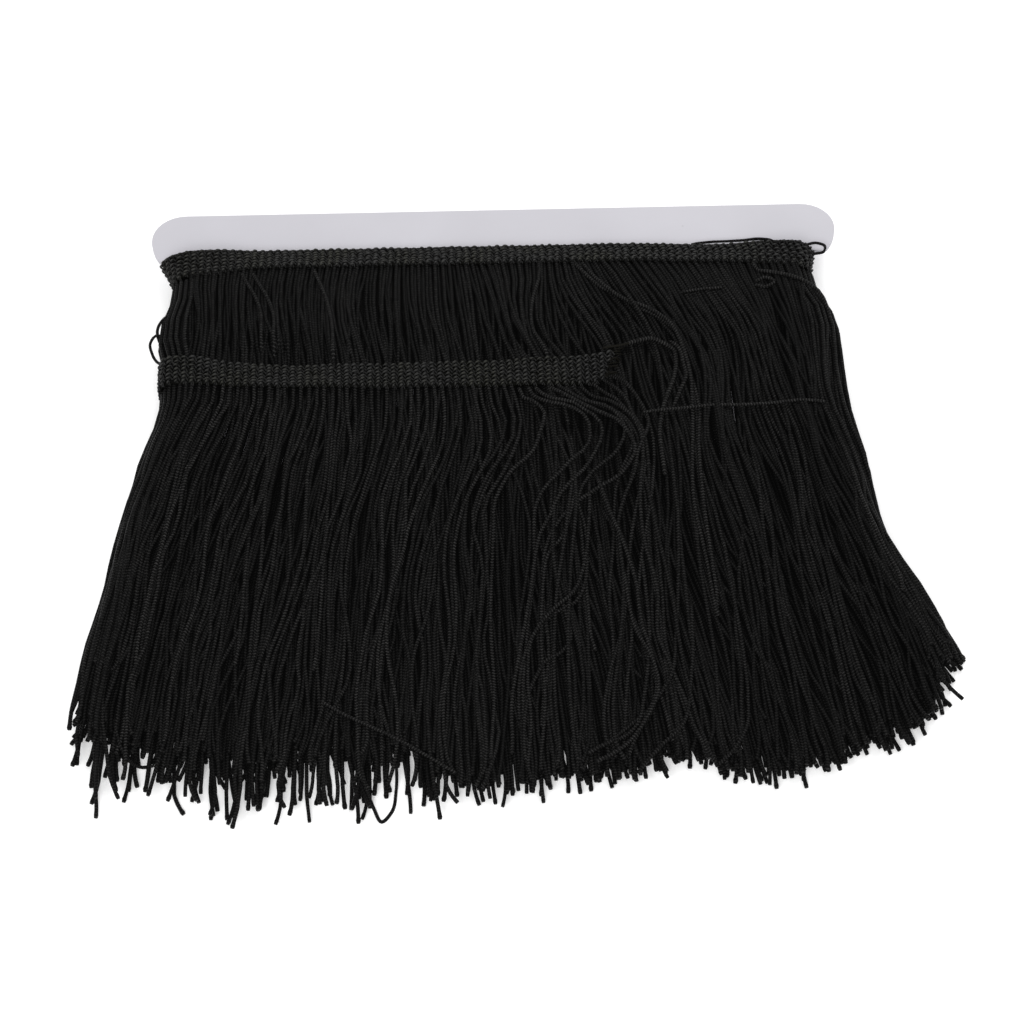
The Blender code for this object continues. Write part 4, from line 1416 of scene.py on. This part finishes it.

# %% [markdown]
# ## Its stitches
#
# On the real band every stitch is a small loop of yarn that leans to one side, with a dark hole beside
# it, six or seven rows across and one column for every strand. There are more than two thousand of them,
# which is what Geometry Nodes are for: points on the band, and one bent loop of yarn set on each, turned
# to lie along the band and made a little uneven. The hole is a small dark disc beside it, painted shade.

# %% Geometry Nodes: the shape of one stitch
ARCH = ((-1, -0.42, 0), (0, 0.5, 1), (1, 0.16, 0))  # each spot: along, to the side, up
LEG = ((0.72, 0, 0), (1.15, -0.55, 0.34), (1.45, -1.3, 0))


def stitch_shape(tree, given):
    """An arch of yarn, the leg that passes down to the next column, and a dark disc between them, painted
    shade for the hole.
    """
    half = sums(tree, "MULTIPLY", given["Stitch length"], 0.5)
    rise = given["Stitch thickness"]

    def spot(along, aside, up):
        """A place in halves of the stitch's length along, and in its thickness to the side and up."""
        parts = ((half, along), (rise, aside), (rise, up))
        return vector_of(tree, *[sums(tree, "MULTIPLY", size, share) for size, share in parts])

    def arched(spots, steps, sides, thick, swell, shine):
        """A tube of yarn on an arch over three spots."""
        ends = dict(zip(("Start", "Middle", "End"), [spot(*place) for place in spots]))
        arch = geo(tree, "CurveQuadraticBezier", {"Resolution": steps, **ends})
        radius = sums(tree, "MULTIPLY", rise, thick)
        ring = geo(tree, "CurvePrimitiveCircle", {"Resolution": sides, "Radius": radius}, mode="RADIUS")
        tube = {"Curve": stored(tree, arch, "shine", shine), "Profile Curve": ring}
        return geo(tree, "CurveToMesh", {**tube, "Scale": swell, "Fill Caps": True})

    wave = sums(tree, "SINE", sums(tree, "MULTIPLY", geo(tree, "SplineParameter"), math.pi))
    # Painted highlight at the middle of each arch, and painted shade towards its ends.
    shine = sums(tree, "MULTIPLY_ADD", sums(tree, "POWER", wave, 7.0), 0.83, 0.17)
    swell = sums(tree, "MULTIPLY_ADD", wave, 0.5, 0.5)
    over = arched(ARCH, 5, 6, 0.44, swell, shine)
    # The leg keeps a low shine all along, so it is painted darker, as painted shade where it passes under.
    under = arched(LEG, 3, 5, 0.34, 1.0, 0.15)
    # The hole is a flat dark disc: painted shade.
    disc = {"Vertices": 6, "Radius": sums(tree, "MULTIPLY", rise, 0.46)}
    hole = geo(tree, "MeshCircle", disc, fill_type="NGON")
    hole = geo(tree, "Transform", {"Geometry": hole, "Translation": spot(0.3, -0.66, 0.3)})
    joined = tree.nodes.new("GeometryNodeJoinGeometry")
    for part in (over, under, hole):
        tree.links.new(part, joined.inputs[0])
    return joined.outputs[0]


print("a stitch's leg ends", LEG[-1][0] - ARCH[-1][0], "of its half length past its arch")

# %% Geometry Nodes: one stitch on every point
STITCH_INPUTS = {
    "Stitch_length": "Float",
    "Stitch_thickness": "Float",
    "Slant": "Float",
    "Unevenness": "Float",
    "Seed": "Int",
    "Yarn": "Material",
}


def stitch_tree():
    """Points with their directions come in, knitting goes out."""
    tree, given = node_group("knit_stitches", **STITCH_INPUTS)

    def uneven(low, high, step):
        """A random number or vector for each stitch; step keeps the draws apart."""
        kind, first, output = ("FLOAT_VECTOR", 0, 0) if isinstance(low, tuple) else ("FLOAT", 2, 1)
        seed = sums(tree, "ADD", given["Seed"], float(step))
        values = {first: low, first + 1: high, "Seed": seed}
        return put(tree, "FunctionNodeRandomValue", values, data_type=kind).outputs[output]

    outward, forward, size = [named(tree, name, "FLOAT_VECTOR") for name in ("outward", "forward", "size")]
    axes = {"Primary Axis": outward, "Secondary Axis": forward}
    turned = put(tree, "FunctionNodeAxesToRotation", axes, primary_axis="Z", secondary_axis="X").outputs[0]
    spread = sums(tree, "MULTIPLY", uneven(-1.0, 1.0, 1), given["Unevenness"])
    lean = vector_of(tree, 0.0, 0.0, sums(tree, "ADD", given["Slant"], spread))
    lean = put(tree, "FunctionNodeEulerToRotation", {0: lean}).outputs[0]
    leaning = put(tree, "FunctionNodeRotateRotation", {0: turned, 1: lean}, rotation_space="LOCAL")
    grown_size = {0: uneven((0.8, 0.75, 0.7), (1.2, 1.25, 1.3), 2), 1: size}
    scale = put(tree, "ShaderNodeVectorMath", grown_size, operation="MULTIPLY").outputs[0]
    setting = {"Points": given["Geometry"], "Instance": stitch_shape(tree, given)}
    set_on = geo(tree, "InstanceOnPoints", {**setting, "Rotation": leaning.outputs[0], "Scale": scale})
    toned = stored(tree, set_on, "tone", uneven(0.55, 1.5, 3), domain="INSTANCE")
    return finish_tree(tree, toned, given["Yarn"])


knit_tree = stitch_tree()

# %% Points for the stitches
ROWS = (0.9, 2.9, 4.9, 6.9, 8.9, 10.9, 12.7)  # millimetres from the upper edge
FULL_SIZE, LAST_ROW_SIZE = (1.0, 1.0, 1.0), (0.62, 1.15, 1.1)  # along, to the side, up


def read_line(wanted, along, line):
    """Places at these distances along a line of points."""
    return np.stack([np.interp(wanted, along, line[:, axis]) for axis in range(3)], axis=1)


def stitch_points(surface, closed):
    """Columns of points one strand pitch apart on a band. surface(across) gives places along it."""
    columns = []
    for row in ROWS:
        across = row / HEADING_WIDTH
        lines = [at(*surface(share)) for share in (across - 0.02, across, across + 0.02)]
        if closed:
            lines = [np.concatenate([line, line[:1]]) for line in lines]
        along = run_along(lines[1]) / MM
        fitting = round(along[-1] / STRAND_PITCH)
        if closed:
            wanted = (np.arange(fitting) + 0.5) * along[-1] / fitting
        else:  # counted back from the far end, because the cut end slants
            wanted = along[-1] - (np.arange(fitting) + 0.5) * STRAND_PITCH
        wanted = wanted + dice.uniform(-0.2, 0.2, len(wanted))
        wanted = wanted[wanted > 0.2]
        above, here, below = [read_line(wanted, along, line) for line in lines]
        forward = read_line(wanted + 0.8, along, lines[1]) - here
        outward = np.cross(forward, above - below) * (1 if closed else -1)
        size = np.tile(LAST_ROW_SIZE if row == ROWS[-1] else FULL_SIZE, (len(wanted), 1))
        here = here + (above - below) * dice.uniform(-0.25, 0.25, len(wanted))[:, None]
        columns.append((here, forward, outward, size))
    return [np.concatenate(part) for part in zip(*columns)]


print("the heading has", len(ROWS), "rows of stitches, one column for every strand")

# %% The stitches of both headings
STITCH_LENGTH = 2.7
UNEVENNESS = 0.12


def stitched(name, surface, closed, slant, seed, thickness, yarn):
    """The knitting on a band, as one piece."""
    here, forward, outward, size = stitch_points(surface, closed)
    forward /= np.linalg.norm(forward, axis=1, keepdims=True)
    outward /= np.linalg.norm(outward, axis=1, keepdims=True)
    facing_left = (forward[:, 0] < 0) & (outward[:, 2] > 0)
    forward[facing_left] *= -1  # on the front all stitches lean the same way
    print(name, "has", len(here), "stitches,", facing_left.sum(), "of them turned the other way")
    points = seed_mesh(name + "_points", here, forward=forward, outward=outward, size=size)
    inputs = {
        "Stitch_length": STITCH_LENGTH * MM,
        "Stitch_thickness": thickness * MM,
        "Slant": slant,
        "Unevenness": UNEVENNESS,
        "Seed": seed,
        "Yarn": yarn,
    }
    return grown(name, points, knit_tree, **inputs)


def outermost(across):
    return wound_places(across, 1.0)


def last_outside(across):
    return last_places(across, 1.15)


wound_stitches = stitched("wound_heading_stitches", outermost, True, 0.0, 5, 1.08, stitch_look)
end_stitches = stitched("end_heading_stitches", last_outside, False, 0.08, 9, 1.15, last_stitch_look)

# %% [markdown]
# ## Loose yarns
#
# Where the trim was cut, one thick yarn has pulled out of the heading and arches over the strands. A few
# thinner ones have worked loose at both ends of the card and over the strands. They are swept by the
# same tree as the strands, each with its own thickness.

# %% Loose yarns, one by one
def loose(thickness, evened, tone, points, heights):
    """A single yarn through places (x, down). It has its own heights, or with None it lies on the heap."""
    points = np.array(points, float)
    key = run_along(points)
    run = np.linspace(0, key[-1], max(12, int(key[-1])))
    x, down = smooth(np.column_stack([key, points]), run)
    x, down = x[None], down[None]
    radius = thickness / 2
    z = widened(heap.rest(x, down, radius), 1 if evened < 5 else 4)
    if heights is not None:
        z = np.maximum(z, smooth(np.column_stack([key, heights]), run)[0][None])
    z = softened(z, evened)
    heap.add(x, down, z, radius)
    line = at(x[0], down[0], z[0])
    along = run_along(line)
    start_taper, end_taper = [0.35 * np.exp(-((away / 1.2) ** 2)) for away in (run, key[-1] - run)]
    return {
        "lines": [line],
        "thick": [(1 - start_taper - end_taper) * radius / STRAND_RADIUS],
        "along": [along],
        "tone": [np.full(len(run), tone)],
        "twist": [dice.uniform(0, 6) + along * 20],
    }


LOOSE = (  # thickness, how far its ups and downs even out, tone, places (x, down), heights
    (2.1, 9.0, 1.8, ((53.5, 79.2), (55.5, 78.2), (58, 77.2), (62, 76), (68, 75), (74, 78), (77, 80),
                     (78, 86), (77, 93), (75, 99), (73, 104), (70, 116), (71, 140)), None),
    (1.9, 3.0, 1.7, ((76, 77), (79, 80), (81, 88), (82, 93), (79, 101), (76, 108)), None),
    (1.45, 14.0, 2.1, ((63, 112), (71, 111), (82, 110), (92, 109), (104, 109), (120, 108), (131, 107),
                       (141, 108)), None),
    (1.3, 1.0, 1.1, ((88, 21.6), (97, 20.4), (104, 20.2), (110.6, 19.8), (119.2, 18.6), (123.6, 19.7),
                     (126.4, 23.7)), (17.2, 16.8, 16.8, 16.6, 15.6, 16.0, 17.6)),
    (1.3, 1.0, 1.1, ((134, 25.5), (138.4, 23.8), (143.7, 22.8), (147.2, 24.6), (146.5, 27.3), (143, 28.2),
                     (139, 28)), (18, 18, 18, 18, 18, 18, 17)),
    (1.4, 1.0, 1.1, ((-141.0, 53.0), (-144.1, 54.6), (-147.8, 60.4), (-147.1, 65), (-143.9, 69.7),
                     (-140, 71)), (19, 19, 18, 17, 16, 16)),
    (1.3, 1.0, 1.1, ((-142, 63), (-148.1, 63.4), (-151.1, 63.9), (-150.4, 69.5), (-147.6, 74.5),
                     (-144, 76.8), (-140, 78)), (15, 14, 13, 13, 14, 15, 16)),
    (1.6, 3.0, 2.0, ((115, 46), (119, 44), (123, 46), (119, 49), (114.5, 48)), None),
    (1.3, 6.0, 1.8, ((82, 51), (89, 50), (100, 49)), None),
    (1.5, 14.0, 1.8, ((-74, 235), (-70, 237.5), (-44, 251), (-19, 266.5)), None),
    # the last two are tips that lie curled on the table
    (1.5, 3.0, 1.0, ((-160, 240), (-158.5, 247), (-157, 252), (-153, 258), (-148, 260), (-143, 260.5)), None),
    (1.5, 3.0, 1.0, ((-58, 262), (-57, 268), (-53, 279), (-50, 284), (-46, 280), (-44, 270), (-43.5, 262)),
     None),
)
loose_batches = [loose(*row) for row in LOOSE]
print("loose yarns:", len(loose_batches))

# %% The ravelled cut end
RAVEL = 1.0, 1.1  # how far their ups and downs even out, and their tone


def frayed(across):
    """A ravelled bit of knitting yarn at the cut end."""
    x = END_X + 0.2 - CUT_SLANT * across
    down = float(course_down(END_X)) + (across - 0.5) * HEADING_WIDTH
    aim, length = dice.uniform(-0.7, 0.6), dice.uniform(2.0, 5.5)
    bend = dice.uniform(-1.0, 1.0)
    points = [
        (x + length * part * math.cos(aim), down + length * part * math.sin(aim) + bend * part**2)
        for part in (0, 0.35, 0.7, 1)
    ]
    top = float(end_low(END_X, across))
    heights = [top + over for over in (0.9, 1.1, 0.8, 0.3)]
    return loose(dice.uniform(0.5, 0.95), *RAVEL, points, heights)


fray_batches = [frayed(across) for across in np.linspace(0.02, 0.98, 13)]
for aside in (-0.5, 0.0, 0.6):  # three plies that run on into the thick loose yarn
    places = [(x, down + aside) for x, down in ((46.5, 80.6), (50, 79.9), (53.5, 79.3), (58, 78.2))]
    fray_batches.append(loose(0.9, *RAVEL, places, (29.4, 29.2, 28.8, 28.4)))
print("ravelled yarns at the cut end:", len(fray_batches))

# %% [markdown]
# ## How the heap settles
#
# Laid one on another, the strands stand too high below the card. A real heap sinks there, because
# nothing holds it up. So every height is scaled down, more and more towards the tips, and the strands
# press into one another a little. Then a few hollows are dented in where the heap is looser, and the
# strands that lie against the card or under the last turn's heading are kept clear of them.

# %% Settling
SETTLES = (  # down, share of its height that the heap keeps: below the card nothing holds it up
    (125, 1.0), (132, 0.99), (145, 0.95), (160, 0.89), (180, 0.8), (200, 0.7), (220, 0.61), (240, 0.54),
    (260, 0.5), (290, 0.48),
)
HEAP_TOP, CROWN = 28.0, 3.0  # above the first the heap evens out, within the second
DENTS = (  # x, down, half its width, half its height, depth as a share
    (-95, 80.5, 13, 5.5, 1.0), (34, 115.5, 6, 4, 0.4), (30, 124, 27, 20, 0.38),
)
CLEAR = 0.03  # millimetres between a strand and the table or the card


def settled(found, dents=(), ceiling=None, bed=None):
    """Lets laid strands sink to where the real heap lies, and keeps them off the table.

    ceiling(x, down) is how high something leaves them room, bed(x, down) how high the thing under them is."""
    for line, thick in zip(found["lines"], found["thick"]):
        x, down, z = (line[:, 0] - CARD_X) / MM, (CARD_Y - line[:, 1]) / MM, line[:, 2] / MM
        share = smooth(SETTLES, down)[0]
        z = z * share
        over = np.maximum(z - HEAP_TOP * share, 0)
        z = z - over + CROWN * (1 - np.exp(-over / CROWN))
        for middle_x, middle_down, wide, high, deep in dents:
            dent = deep * np.exp(-(((x - middle_x) / wide) ** 2) - ((down - middle_down) / high) ** 2)
            z = np.where(z > CARD_TOP, z - dent * (z - CARD_TOP - 1.0), z)
        if ceiling is not None:
            z = np.minimum(z, ceiling(x, down) - thick * STRAND_RADIUS)
        lowest = thick * STRAND_RADIUS + CLEAR
        line[:, 2] = np.maximum(z, lowest if bed is None else lowest + bed(x, down)) * MM
    return found


def card_above(x, down):
    """Height of the card's underside, or far up where no card lies above."""
    under_card = (np.abs(x) < NECK + 2.0) & (down > 22.0) & (down < CARD_FOOT + 0.5)
    return np.where(under_card, CARD_UNDER, 99.0)


def card_below(x, down):
    """Height of the card's upper face, or of the table beside it."""
    return np.where((np.abs(x) < NECK + 2.0) & (down < CARD_FOOT - 0.5), CARD_TOP, 0.0)


print("at the tips the heap keeps %.0f percent of its height" % (100 * smooth(SETTLES, 270.0)[0]))

# %% [markdown]
# ## Sweep the strands and attach the pieces
#
# All the routes are laid, so each family of strands settles and is swept into one piece. Then every
# piece is told what it rides on and which plain solid it stands for.

# %% Strand pieces
back_strands = sweep("back_strands", settled(gathered(back_batches), ceiling=card_above))
front_found = settled(gathered(front_batches), DENTS, under_heading, card_below)
front_strands = sweep("front_strands", front_found)
side_strands = sweep("side_strands", settled(gathered(side_batches)))
end_strands = sweep("end_strands", settled(gathered(end_batches)))
loose_yarns = sweep("loose_yarns", settled(gathered(loose_batches)))
cut_end_yarns = sweep("cut_end_yarns", gathered(fray_batches), fray_look)

# %% Which solid each piece stands for
STANDS_FOR = {
    "wound_heading": (wound_ribbon, wound_stitches),
    "end_heading": (end_ribbon, end_stitches, cut_end_yarns),
    "back_fringe": (back_strands,),
    "front_fringe": (front_strands, side_strands),
    "end_fringe": (end_strands, loose_yarns),
}
for node, pieces in STANDS_FOR.items():
    for piece in pieces:
        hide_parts(node)
        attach(piece, "root")
        print(f"{piece.name}: up to {max(vertex.co.z for vertex in piece.data.vertices) / MM:.1f} mm high")


# %% Cut lengths of the two headings
print("cut lengths: 4.0 m for the wound turns and 0.493 m for the last one")

# %% Sizes, and the end
visual_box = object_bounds()
for label, corners in (("packed model", cad_box), ("finished piece", visual_box)):
    print(label, *[f"{size / MM:.1f}" for size in corners[1] - corners[0]], "mm")
